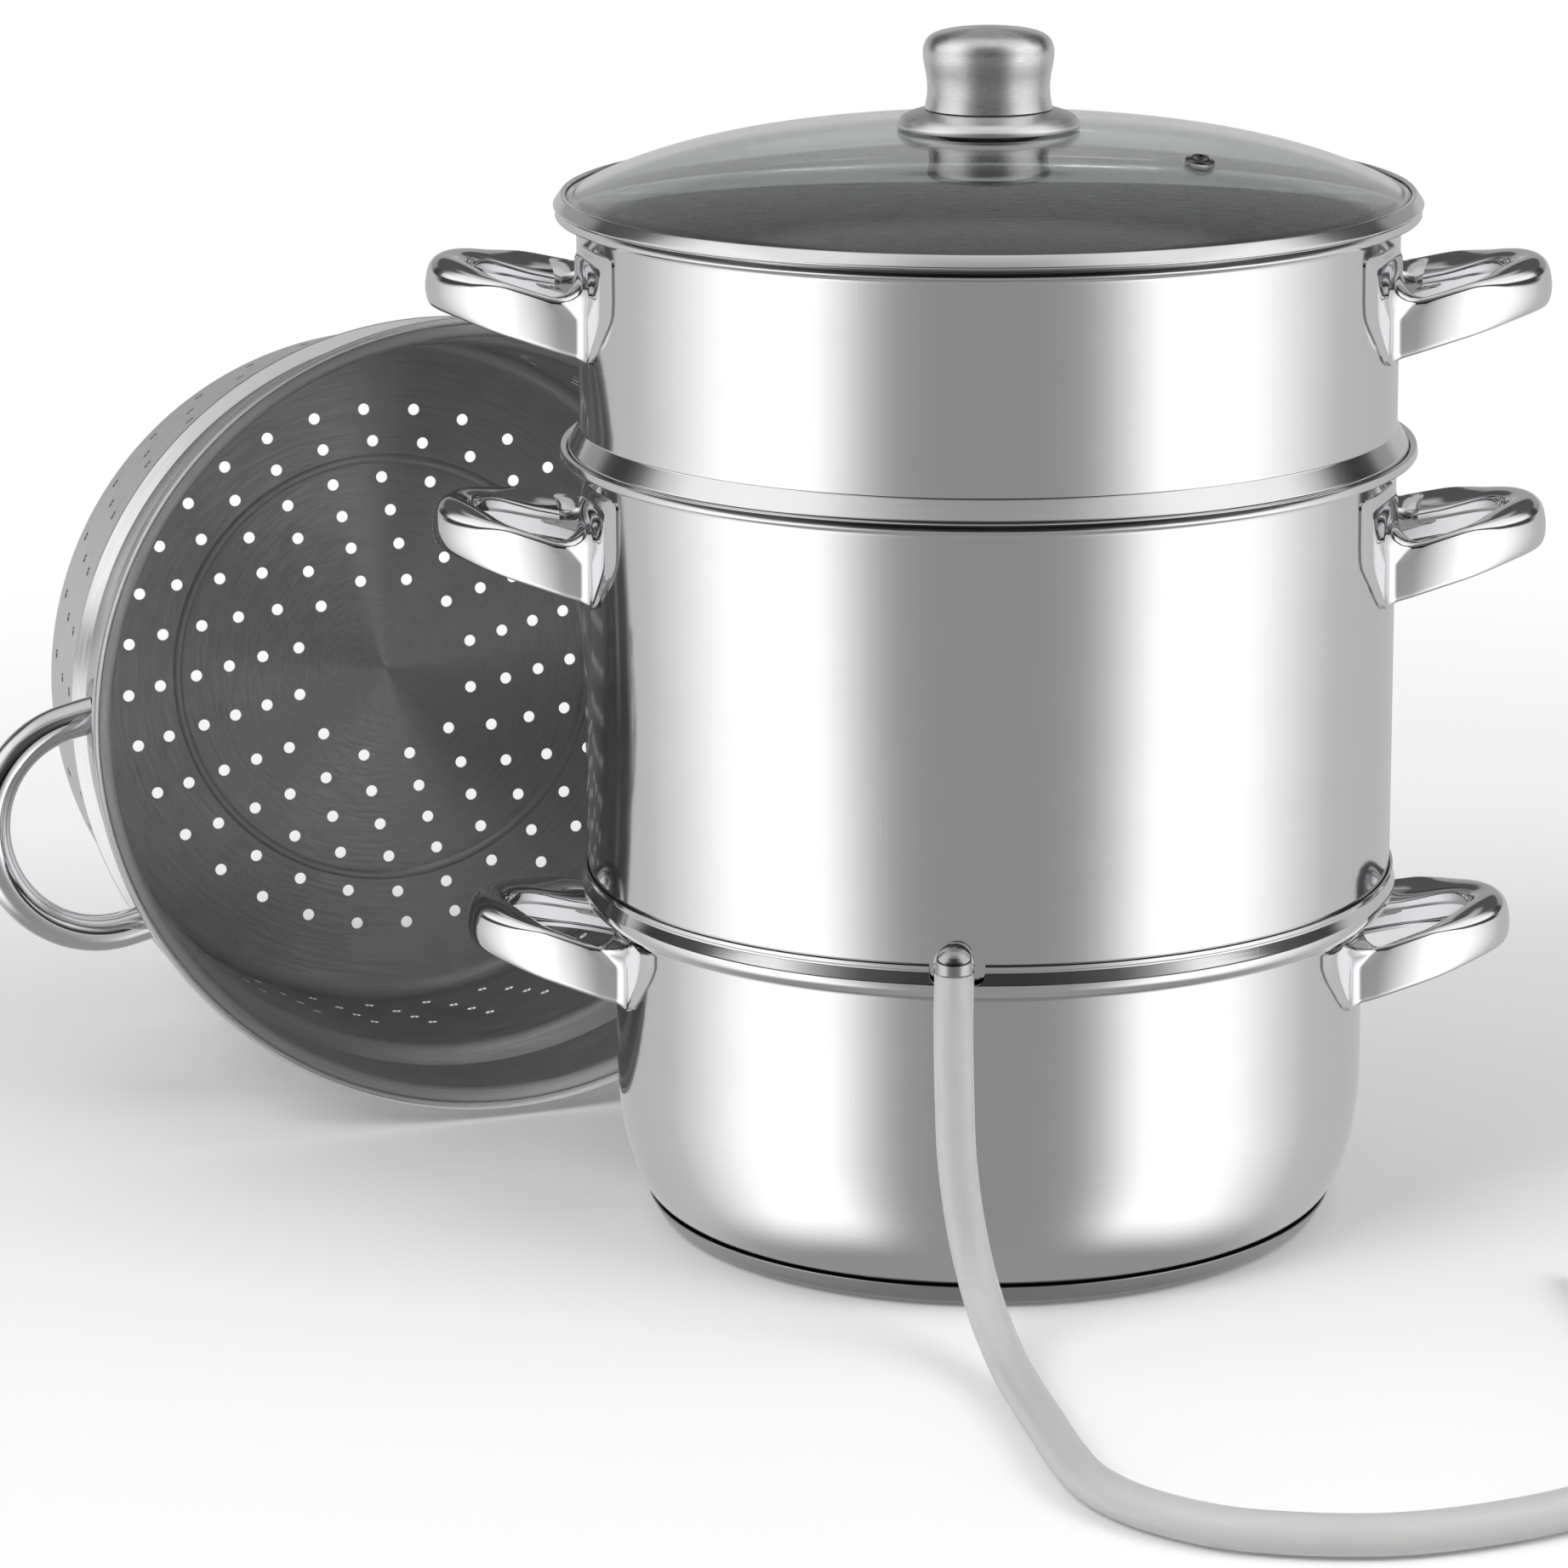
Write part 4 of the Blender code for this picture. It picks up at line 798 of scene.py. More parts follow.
def make_pot():
    """The bottom tier: its shell with the spout's notch in the collar, its base cap and its core."""
    flat = POT_RADIUS - POT_CORNER[0]
    foot = POT_TOP - COLLAR_HEIGHT
    lip = TIER_RADIUS + GAP + SHEET
    line = [(0, POT_FLOOR), (POT_FLOOR_RING, POT_FLOOR)]
    line += quarter((flat, POT_FLOOR), *POT_CORNER, 24)
    line += quarter((POT_RADIUS, foot), *COLLAR_CURVE, 16)[:-1]
    line += eased([
        (lip + COLLAR_LEAN, foot + COLLAR_CURVE[1], 0.0),
        (lip + COLLAR_LEAN, foot + COLLAR_CURVE[1] + 0.0008, 0.0006),
        (lip - COLLAR_GROOVE, POT_TOP - COLLAR_LIP - 0.0005, 0.0002),
        (lip - COLLAR_GROOVE, POT_TOP - COLLAR_LIP, 0.0002),
        (lip, POT_TOP - COLLAR_LIP + 0.0004, 0.0002),
        (lip, POT_TOP, 0.0),
    ], steps=3)
    matrix = Matrix.Rotation(SPOUT_ANGLE, 4, "Z") @ Matrix.Translation((0, -TIER_RADIUS, POT_TOP))
    data = turned_sheet("water_pot_shell", line, cuts=[(notch_tool(), matrix)])
    add_piece("water_pot_shell", data, ("polished", "satin"), "water_pot", ["pot_shell"])

    cap = eased([
        (0.0, 0.0, 0.0),
        (BASE_FACE_RADIUS, 0.0, 0.003),
        (BASE_FACE_RADIUS + 0.0046, 0.0018, 0.003),
        (BASE_CAP_RADIUS, BASE_CAP_HEIGHT, 0.0004),
        (BASE_CAP_RADIUS - SHEET, BASE_CAP_HEIGHT, 0.0004),
        (BASE_FACE_RADIUS + 0.0036, 0.0028, 0.002),
        (BASE_FACE_RADIUS - SHEET, SHEET, 0.001),
        (0.0, SHEET, 0.0),
    ], closed=True)
    add_turned("water_pot_base", cap, "base", "water_pot", "pot_base_cap")
    core = eased([
        (0.0, SHEET + GAP, 0.0),
        (BASE_CORE_RADIUS, SHEET + GAP, 0.0006),
        (BASE_CORE_RADIUS, POT_FLOOR - GAP, 0.0006),
        (0.0, POT_FLOOR - GAP, 0.0),
    ], closed=True)
    add_turned("water_pot_core", core, "core", "water_pot", "pot_base_core")


def make_kettle():
    """The middle tier: its shell with the spout's hole, and the steam cone in its floor."""
    foot = POT_TOP - COLLAR_HEIGHT + SHEET + GAP
    width = TIER_RADIUS - POT_RADIUS - SHEET - GAP
    line = [(KETTLE_HOLE, foot), (KETTLE_FLOOR_RING, foot)]
    line += quarter((POT_RADIUS, foot), width, COLLAR_CURVE[1], 14)
    line += [(TIER_RADIUS, POT_TOP), *rim_points(KETTLE_TOP, 150)]
    hole = rod("spout_hole_tool", SPOUT_STUB_RADIUS + GAP, 0.016)
    data = turned_sheet("juice_kettle_shell", line, cuts=[(hole, spout_frame(TIER_RADIUS))])
    add_piece(
        "juice_kettle_shell", data, ("polished", "satin"), "juice_kettle", ["kettle_shell"]
    )
    base = foot + SHEET + GAP
    line = eased([(radius, base + rise, 0.004) for radius, rise in CONE_LINE])
    data = turned_sheet("steam_cone_funnel", line, -SHEET)
    add_piece("steam_cone_funnel", data, ("satin", "satin"), "juice_kettle", ["steam_cone"])


def cell_band(shape, lower, upper, cells, hole_radius):
    """A band between two rings in which each cell has a round hole."""
    per_cell = len(lower) // cells
    columns = []
    for cell in range(cells):
        low, high = lower[cell * per_cell], upper[cell * per_cell]
        column = [low]
        for step in range(1, per_cell):
            column.append(shape.verts.new(low.co.lerp(high.co, step / per_cell)))
        columns.append([*column, high])
    for cell in range(cells):
        first = cell * per_cell
        bottom = [lower[(first + step) % len(lower)] for step in range(per_cell)]
        top = [upper[(first + per_cell - step) % len(upper)] for step in range(per_cell)]
        right = columns[(cell + 1) % cells][:-1]
        left = columns[cell][:0:-1]
        border = bottom + right + top + left
        middle = sum((corner.co for corner in border), Vector()) / len(border)
        across = (right[0].co - bottom[0].co).normalized()
        along = (columns[cell][-1].co - columns[cell][0].co).normalized()
        outwards = across.cross(along)
        along = outwards.cross(across).normalized()
        level = middle.xy.length
        count = len(border)
        edge = []
        for index in range(count):
            angle = math.tau * (index - per_cell / 2) / count - math.pi / 2
            spot = middle + (across * math.cos(angle) + along * math.sin(angle)) * hole_radius
            if abs(along.z) > 0.9:
                spot.xy = spot.xy.normalized() * max(level, lower[0].co.xy.length)
            edge.append(shape.verts.new(spot))
        for index in range(count):
            after = (index + 1) % count
            shape.faces.new((border[index], border[after], edge[after], edge[index]))


def perforated_shell(name, nest, depth, wall_rows):
    """A tier with a perforated floor at height zero, a bead and a rolled rim."""
    shape = bmesh.new()
    last = None
    before = 0.0
    for radius, cells in FLOOR_RINGS:
        start = -math.pi / cells
        count = cells * CELL_STEPS
        if last is None:
            last = turned_line(shape, FLOOR_MIDDLE, count, None, start)
        elif before < EMBOSS_RADIUS < radius:
            turn = math.atan2(last[0].co.y, last[0].co.x)
            last = turned_line(shape, EMBOSS_LINE, len(last), last, turn)
        inner = turned_line(shape, [(radius - HOLE_CELL / 2, 0)], count, last, start)
        last = ring(shape, radius + HOLE_CELL / 2, 0, count, start)
        cell_band(shape, inner, last, cells, HOLE_RADIUS)
        before = radius
    line = [(NEST_RADIUS - FLOOR_CORNER - 0.004, 0)]
    line += arc((NEST_RADIUS - FLOOR_CORNER, FLOOR_CORNER), FLOOR_CORNER, -90, 0, 10)
    last = turned_line(shape, line, ROUND, last, start)
    for row in range(wall_rows):
        lower = WALL_ROW_START + (row - 0.5) * WALL_ROW_PITCH
        if row == 0:
            last = turned_line(shape, [(NEST_RADIUS, lower)], ROUND, last, start)
        following = ring(shape, NEST_RADIUS, lower + WALL_ROW_PITCH, ROUND, start)
        shift = round(ROUND / WALL_ROW_CELLS * row * WALL_ROW_SHIFT)
        cell_band(
            shape, last[shift:] + last[:shift], following[shift:] + following[:shift],
            WALL_ROW_CELLS, WALL_HOLE_RADIUS,
        )
        last = following
    turned_line(shape, bead_points(nest) + rim_points(depth, 185), ROUND, last, start)
    return baked(name, mesh_from(shape, name + "_line"), SHEET)


def make_steamer():
    """The top tier, whose floor is perforated and whose wall is plain."""
    data = perforated_shell("steamer_tier_shell", STEAMER_NEST, STEAMER_TOP - STEAMER_FLOOR, 0)
    # Its inner faces take the dark 'inside' steel, a painted shade for the hollow under the lid
    add_piece(
        "steamer_tier_shell", data, ("polished", "inside"), "steamer", ["steamer_shell"],
        Matrix.Translation((0, 0, STEAMER_FLOOR)),
    )


# Strap handles

def strap_section(tip):
    """The channel's outer line as (outwards, rise), from tip 0 at the legs to tip 1 at the outer end."""
    half = STRAP_WIDTH / 2
    at_leg = (
        (half - 0.0022, -STRAP_HEIGHT, 0.0),
        (half - 0.0001, -STRAP_HEIGHT + 0.0004, 0.0020),
        (half + 0.0002, -STRAP_HEIGHT * 0.5, 0.0050),
        (half, 0.0, 0.0022),
        (0.0, -0.0018, 0.0030),
        (-half, -0.0052, 0.0026),
        (-half - 0.0001, -0.0080, 0.0010),
        (-half + 0.0005, -STRAP_LIP - 0.0016, 0.0),
    )
    at_tip = (
        (half - 0.0044, -STRAP_HEIGHT + 0.0008, 0.0),
        (half - 0.0010, -STRAP_HEIGHT + 0.0014, 0.0036),
        (half + 0.0002, -STRAP_HEIGHT * 0.60, 0.0060),
        (half - 0.0012, -0.0030, 0.0060),
        (0.0006, 0.0002, 0.0050),
        (-half, -0.0014, 0.0028),
        (-half - 0.0001, -0.0058, 0.0015),
        (-half + 0.0005, -STRAP_LIP, 0.0),
    )
    return eased([
        tuple(a + (b - a) * tip for a, b in zip(leg, end, strict=True))
        for leg, end in zip(at_leg, at_tip, strict=True)
    ], steps=7)


def strap_spot(wall_radius, top, turn, across, rise):
    """A point of the strap: turn runs from -90 degrees at one wall end over the tip to 90 degrees."""
    start = math.sqrt(wall_radius**2 - STRAP_SPREAD**2)
    length = wall_radius + STRAP_REACH - STRAP_WIDTH / 2 - start
    here, near = (
        Vector((max(math.cos(angle), 0.0) ** STRAP_LEG_POWER * length, math.sin(angle) * STRAP_SPREAD))
        for angle in (turn, turn + math.copysign(0.01, -turn))
    )
    heading = (near - here).normalized() * math.copysign(1.0, -turn)
    share = min(here.x / length, 1.0)
    lift = STRAP_RISE * (1 - (1 - share) ** STRAP_RISE_POWER)
    return Vector((
        start + here.x + heading.y * across,
        here.y - heading.x * across,
        top + lift + rise,
    ))


def strap_turn(wall_radius, distance):
    """The turn at which the strap's centre line stands a distance out from its wall end."""
    start = math.sqrt(wall_radius**2 - STRAP_SPREAD**2)
    length = wall_radius + STRAP_REACH - STRAP_WIDTH / 2 - start
    return -math.acos((distance / length) ** (1 / STRAP_LEG_POWER))


def through(a, b, c, d, t):
    """The spot a share t of the way from b to c, on a smooth line through four numbers or points."""
    return 0.5 * (
        2 * b + (c - a) * t + (2 * a - 5 * b + 4 * c - d) * t**2 + (3 * b - a - 3 * c + d) * t**3
    )


def smooth_at(stations, share):
    """The values at a share, on a smooth line through stations of (share, values)."""
    last = len(stations) - 1
    index = next((index for index in range(last) if share <= stations[index + 1][0]), last - 1)
    low, high = stations[index], stations[index + 1]
    near = zip(stations[max(index - 1, 0)], low, high, stations[min(index + 2, last)], strict=True)
    t = (share - low[0]) / (high[0] - low[0])
    return [through(*values, t) for values in list(near)[1:]]


def smooth_share(share):
    """A share held between 0 and 1 that starts and ends gently."""
    held = min(max(share, 0.0), 1.0)
    return held * held * (3 - 2 * held)


def wing_outline(tier):
    """Stations of (share of the section, distance from the middle plane, height) round the weld plate."""
    top = STRAP_TOPS[tier]
    rim = WING_TOPS[tier]
    foot = top - STRAP_HEIGHT
    reach = rim - top
    return [
        (0.0, 0.0405, foot - 0.0010),
        (0.07, 0.0435, foot + 0.0003),
        (0.15, 0.0480, foot + 0.0034),
        (0.23, 0.0530, foot + 0.0085),
        (0.31, 0.0580, foot + 0.0138),
        (0.37, 0.0607, top + 0.0004),
        (0.43, WING_SPREAD, top + 0.45 * reach),
        (0.48, WING_SPREAD, rim - 0.15 * reach),
        (0.52, WING_SPREAD - 0.0015, rim),
        (0.62, 0.0500, rim),
        (0.74, 0.0335, rim),
        (0.80, 0.0260, rim - 0.06 * reach),
        (0.85, 0.0235, rim - 0.35 * reach),
        (0.90, 0.0232, top + 0.0005),
        (0.95, 0.0248, top - 0.0040),
        (1.0, 0.0272, top - STRAP_LIP - 0.0010),
    ]


def strap_rows(tier, wall_radius):
    """Rows of points over the whole handle, from one weld plate's edge to the other's."""
    section = strap_section(0.0)
    lengths = [0.0]
    for before, after in zip(section, section[1:], strict=False):
        lengths.append(lengths[-1] + math.dist(before, after))
    shares = [length / lengths[-1] for length in lengths]
    top = STRAP_TOPS[tier]
    outline = wing_outline(tier)
    small, large = WELD_FILLETS
    plate_end = 7
    fillet_end = plate_end + 12
    leg_end = fillet_end + 4
    bend_end = leg_end + 30
    rows = []
    common = strap_turn(wall_radius, large + 0.003)
    for step in range(bend_end + 1):
        row = []
        stand = wall_radius + WING_EDGE + (GAP + STRAP_SHEET - WING_EDGE) * smooth_share(step / 3)
        part = max(step - leg_end, 0) / (bend_end - leg_end)
        turn = common * (1 - part)
        tip = smooth_share((math.cos(turn) - STRAP_TIP_START) / (1 - STRAP_TIP_START))
        section = strap_section(tip if part else 0.0)
        for (across, rise), share in zip(section, shares, strict=True):
            fillet = small + (large - small) * smooth_share((share - 0.40) / 0.25)
            first = strap_turn(wall_radius, fillet)
            if step <= fillet_end:
                leg = strap_spot(wall_radius, top, STRAP_FIRST_TURN, across, rise)
                side, height = smooth_at(outline, share)
                away = math.hypot(side + leg.y, height - leg.z)
                near = min(1.0, fillet / max(away, 0.0001))
                if step <= plate_end:
                    spread = 1 - (1 - near) * step / plate_end
                    lift = 0.0
                else:
                    angle = math.pi / 2 * (step - plate_end) / (fillet_end - plate_end)
                    spread = near * (1 - math.sin(angle))
                    lift = fillet * (1 - math.cos(angle))
                    rising = STRAP_FIRST_TURN + (first - STRAP_FIRST_TURN) * lift / fillet
                    leg = strap_spot(wall_radius, top, rising, across, rise)
                across_wall = leg.y + (-side - leg.y) * spread
                wall = math.sqrt(max(stand**2 - across_wall**2, 0.0))
                row.append(Vector((wall + lift, across_wall, leg.z + (height - leg.z) * spread)))
            elif step <= leg_end:
                along = (step - fillet_end) / (leg_end - fillet_end)
                row.append(strap_spot(wall_radius, top, first + (common - first) * along, across, rise))
            else:
                row.append(strap_spot(wall_radius, top, turn, across, rise))
        rows.append(row)
    return rows + [[Vector((spot.x, -spot.y, spot.z)) for spot in row] for row in reversed(rows[:-1])]


def make_strap_handles(tier, wall_radius, body):
    """The two alike handles of a tier, with their sheet edges rounded off."""
    shape = bmesh.new()
    rows = [[shape.verts.new(spot) for spot in row] for row in strap_rows(tier, wall_radius)]
    for before, after in zip(rows, rows[1:], strict=False):
        for index in range(len(before) - 1):
            shape.faces.new((before[index], after[index], after[index + 1], before[index + 1]))
    shape.normal_update()
    middle = rows[len(rows) // 2]
    if sum(face.normal.z for face in middle[len(middle) // 2].link_faces) < 0:
        bmesh.ops.reverse_faces(shape, faces=shape.faces)
    data = mesh_from(shape, f"{tier}_strap_line", 60)
    data = baked(f"{tier}_strap", data, STRAP_SHEET)
    for side, turn in (("right", 0.0), ("left", math.pi)):
        copy = data.copy()
        copy.transform(Matrix.Rotation(turn, 4, "Z"))
        piece = add_piece(
            f"{tier}_strap_{side}", copy, ("handle", "handle"), body,
            [f"{tier}_handle_{side}"],
        )
        soften = piece.modifiers.new("soften", "BEVEL")
        soften.width = STRAP_EDGE_EASE
        soften.segments = 3
        soften.limit_method = "ANGLE"
        soften.angle_limit = math.radians(55)
        soften.harden_normals = False


# Spout and hose

def smooth_route(points, step):
    """Points a step apart on a smooth curve through the given ones."""
    points = [Vector(point) for point in points]
    padded = [2 * points[0] - points[1], *points, 2 * points[-1] - points[-2]]
    fine = []
    for index in range(1, len(padded) - 2):
        fine += [through(*padded[index - 1 : index + 3], part / 20) for part in range(20)]
    fine.append(points[-1])
    total = sum((after - before).length for before, after in zip(fine, fine[1:], strict=False))
    count = round(total / step)
    result = [fine[0]]
    travelled = 0.0
    for before, after in zip(fine, fine[1:], strict=False):
        span = (after - before).length
        while len(result) < count and travelled + span >= total / count * len(result):
            result.append(before.lerp(after, (total / count * len(result) - travelled) / span))
        travelled += span
    result.append(fine[-1])
    return result


def pipe(name, points, outer, inner, count, end_spots=None):
    """A hollow round tube along points, with flat ends, or ends moved by end_spots."""
    shape = bmesh.new()
    walls = ([], [])
    side = None
    for index, point in enumerate(points):
        before = points[max(index - 1, 0)]
        after = points[min(index + 1, len(points) - 1)]
        heading = (after - before).normalized()
        if side is None:
            side = heading.orthogonal().normalized()
        side = (side - heading * side.dot(heading)).normalized()
        other = heading.cross(side)
        for wall, radius in zip(walls, (outer, inner), strict=True):
            corners = []
            for step in range(count):
                angle = math.tau * step / count
                spot = point + (side * math.cos(angle) + other * math.sin(angle)) * radius
                if end_spots is not None and index in (0, len(points) - 1):
                    spot = end_spots(spot)
                corners.append(shape.verts.new(spot))
            wall.append(corners)
    for wall in walls:
        for lower, upper in zip(wall, wall[1:], strict=False):
            skin(shape, lower, upper)
    for end in (0, -1):
        skin(shape, walls[0][end], walls[1][end])
    bmesh.ops.recalc_face_normals(shape, faces=shape.faces)
    return mesh_from(shape, name)


def make_hose():
    """The hose from the spout down to the table and round to the clamp."""
    points = smooth_route(HOSE_ROUTE, HOSE_STEP)
    data = pipe("silicone_hose", points, HOSE_RADIUS, HOSE_BORE, 32)
    hose = add_piece("silicone_hose", data, ("silicone",), "juice_kettle", ["juice_hose"])
    hose.visible_glossy = False


def make_spout():
    """The domed spout with its stub through the wall and the nipple inside the hose."""
    outlet = SPOUT_HEIGHT - SPOUT_DROP
    tip = outlet - NIPPLE_LENGTH
    elbow = [
        (SPOUT_BORE, tip),
        (NIPPLE_RADIUS - 0.0006, tip),
        (NIPPLE_RADIUS, tip + 0.0008),
        (NIPPLE_RADIUS, outlet - 0.0004),
        (NIPPLE_RADIUS + 0.0002, outlet),
        (SPOUT_RADIUS - 0.0004, outlet),
        (SPOUT_RADIUS, outlet + 0.0004),
        *arc((0, SPOUT_HEIGHT), SPOUT_RADIUS, 0, 90, 16)[:-1],
        (0, SPOUT_HEIGHT + SPOUT_RADIUS),
        (0, SPOUT_HEIGHT + 0.003),
        (SPOUT_BORE, SPOUT_HEIGHT),
    ]
    upright = Matrix.Rotation(SPOUT_ANGLE, 4, "Z") @ Matrix.Translation((0, -SPOUT_REACH, 0))
    inner = TIER_RADIUS - SHEET - 0.002
    length = SPOUT_REACH - SPOUT_RADIUS * 0.6 - inner
    stub = [(SPOUT_BORE, 0.0), (SPOUT_STUB_RADIUS, 0.0), (SPOUT_STUB_RADIUS, length), (SPOUT_BORE, length)]
    for name, loop, node, matrix in (
        ("spout_outlet", elbow, "spout_elbow", upright),
        ("spout_stub", stub, None, spout_frame(inner)),
    ):
        piece = add_turned(
            name, loop, "spout", "juice_kettle", node, SMALL_ROUND, matrix
        )
        piece.visible_glossy = False
    collar = eased([
        (SPOUT_STUB_RADIUS + GAP, 0.0, 0.0),
        (0.0050, 0.0, 0.0002),
        (0.0048, 0.0010, 0.0005),
        (SPOUT_STUB_RADIUS + GAP, 0.0010, 0.0),
    ], closed=True)
    add_turned(
        "spout_weld_ring", collar, "satin", "juice_kettle", "spout_collar", SMALL_ROUND,
        spout_frame(TIER_RADIUS + GAP),
    )


# Lid

def glass_height(radius):
    """The height of the dome's upper face at a radius."""
    share = radius / GLASS_RADIUS
    return GLASS_CROWN - GLASS_BOW * share**2 - GLASS_DROOP * share**4


def vent_frame():
    """A frame on the glass at the vent, whose Z stands square to the dome."""
    radius, angle = VENT_SPOT
    share = radius / GLASS_RADIUS
    slope = (2 * GLASS_BOW * share + 4 * GLASS_DROOP * share**3) / GLASS_RADIUS
    return (
        Matrix.Rotation(angle, 4, "Z")
        @ Matrix.Translation((radius, 0, glass_height(radius)))
        @ Matrix.Rotation(math.atan(slope), 4, "Y")
    )


def make_glass():
    """The dome with its rounded edge and the hole for the vent."""
    edge = GLASS_RADIUS - 0.0012
    steps = 40
    top = []
    for index in range(steps + 1):
        radius = GLASS_HOLE + (edge - GLASS_HOLE) * index / steps
        top.append((radius, glass_height(radius)))
    rim = bend(top[-1], (GLASS_RADIUS, top[-1][1]), (GLASS_RADIUS, top[-1][1] - 0.00175), 5)[1:]
    rim += bend(rim[-1], (GLASS_RADIUS, top[-1][1] - 0.0035), (edge, top[-1][1] - 0.0035), 5)[1:]
    below = [(radius, height - GLASS_THICKNESS) for radius, height in reversed(top[:-1])]
    data = turned("lid_glass_dome", top + rim + below)
    hole = rod("vent_hole_tool", VENT_HOLE, 0.012)
    data = baked("lid_glass_dome", data, cuts=[(hole, vent_frame())])
    add_piece("lid_glass_dome", data, ("glass",), "lid", ["lid_glass"])


def make_lid_band():
    """The pressed band that grips the edge of the glass and sits on the steamer's rim."""
    edge = GLASS_RADIUS + GAP
    under = glass_height(GLASS_RADIUS) - GLASS_THICKNESS - GAP
    over = glass_height(BAND_LAP) + GAP
    seat = STEAMER_TOP + GAP
    web = edge + 0.0005
    loop = eased([
        (BAND_LAP, over, 0.0002),
        (edge, over, 0.0),
        (edge, under, 0.0),
        (BAND_TUCK, under, 0.0008),
        (BAND_TUCK - 0.0007, under - BAND_LIP, 0.0003),
        (BAND_TUCK, under - BAND_LIP, 0.0003),
        (BAND_TUCK + 0.0005, under - 0.0007, 0.0006),
        (web, under - 0.0007, 0.0),
        (web, seat, 0.0),
        (BAND_RADIUS - 0.0002, seat, 0.0003),
        (BAND_RADIUS, seat + 0.0006, 0.0004),
        (BAND_RADIUS - 0.0025, over + 0.0010, 0.0005),
        (BAND_LAP, over + 0.0006, 0.0003),
    ], closed=True)
    add_turned("lid_rim_band", loop, "polished", "lid", "lid_band")


def make_knob():
    """The seal, the flared skirt and the grip, stacked on the crown of the glass."""
    seal = eased([
        (KNOB_BORE, SEAL_FOOT, 0.0),
        (SEAL_RADIUS, SEAL_FOOT, 0.0002),
        (SEAL_RADIUS, SEAL_TOP, 0.0002),
        (KNOB_BORE, SEAL_TOP, 0.0),
    ], closed=True)
    add_turned("knob_seal", seal, "silicone", "lid", "knob_gasket", KNOB_ROUND)
    rim = glass_height(SKIRT_RADIUS) + 2 * GAP
    skirt = eased([
        (KNOB_BORE, SKIRT_FOOT, 0.0),
        (0.0255, SKIRT_FOOT, 0.0003),
        (0.0258, rim, 0.0003),
        (SKIRT_RADIUS - 0.0001, rim, 0.0002),
        (SKIRT_RADIUS, rim + 0.0012, 0.0006),
        (0.0272, rim + 0.0036, 0.0020),
        (0.0222, SKIRT_TOP - 0.0004, 0.0016),
        (0.0195, SKIRT_TOP, 0.0008),
        (KNOB_BORE, SKIRT_TOP, 0.0),
    ], closed=True)
    add_turned("knob_flared_skirt", skirt, "skirt", "lid", "knob_skirt", KNOB_ROUND)
    stations = [(index / (len(KNOB_LINE) - 1), *spot) for index, spot in enumerate(KNOB_LINE)]
    grip = [(KNOB_BORE, GRIP_FOOT)]
    steps = 56
    for index in range(steps):
        out, up = smooth_at(stations, index / steps)
        grip.append((GRIP_RADIUS * min(out, 1.0), GRIP_FOOT + GRIP_HEIGHT * max(up, 0.0)))
    grip += [(0, GRIP_FOOT + GRIP_HEIGHT), (0, SCREW_TOP + GAP), (KNOB_BORE, SCREW_TOP + GAP)]
    add_turned("knob_grip", grip, "grip", "lid", "knob_cap", KNOB_ROUND)


def make_knob_fixing():
    """The washer and the screw that hold the knob from below the glass."""
    top = glass_height(WASHER_RADIUS) - GLASS_THICKNESS - GAP
    under = top - WASHER_HEIGHT
    washer = eased([
        (KNOB_BORE, under, 0.0),
        (0.0155, under, 0.0010),
        (WASHER_RADIUS, top - 0.0006, 0.0008),
        (WASHER_RADIUS - 0.0005, top, 0.0004),
        (KNOB_BORE, top, 0.0),
    ], closed=True)
    add_turned("knob_washer", washer, "polished", "lid", "lid_washer", KNOB_ROUND)
    head = under - GAP
    screw = eased([
        (0.0, head - 0.0014, 0.0),
        (0.0018, head - 0.0014, 0.0002),
        (0.0020, head - 0.0024, 0.0002),
        (0.0040, head - 0.0024, 0.0008),
        (0.0055, head - 0.0010, 0.0008),
        (0.0055, head, 0.0002),
        (0.0020, head, 0.0),
        (0.0020, SCREW_TOP, 0.0003),
        (0.0, SCREW_TOP, 0.0),
    ], closed=True)
    add_turned("knob_screw", screw, "satin", "lid", "lid_screw", SMALL_ROUND)


def make_vent():
    """The rolled eyelet that lines the vent hole, in the frame of the hole."""
    below = -GLASS_THICKNESS - GAP
    loop = eased([
        (VENT_BORE, 0.0021, 0.0004),
        (VENT_BORE, below - 0.0008, 0.0003),
        (0.0040, below - 0.0008, 0.0003),
        (0.0040, below, 0.0002),
        (0.0028, below, 0.0),
        (0.0028, GAP, 0.0),
        (0.00475, GAP, 0.0002),
        (0.0045, GAP + 0.0009, 0.0006),
        (0.0029, GAP + 0.0010, 0.0006),
        (0.0026, 0.0022, 0.0005),
    ], closed=True, steps=5)
    add_turned(
        "vent_eyelet", loop, "vent", "lid", "steam_vent", SMALL_ROUND, vent_frame()
    )


# Loose strainer

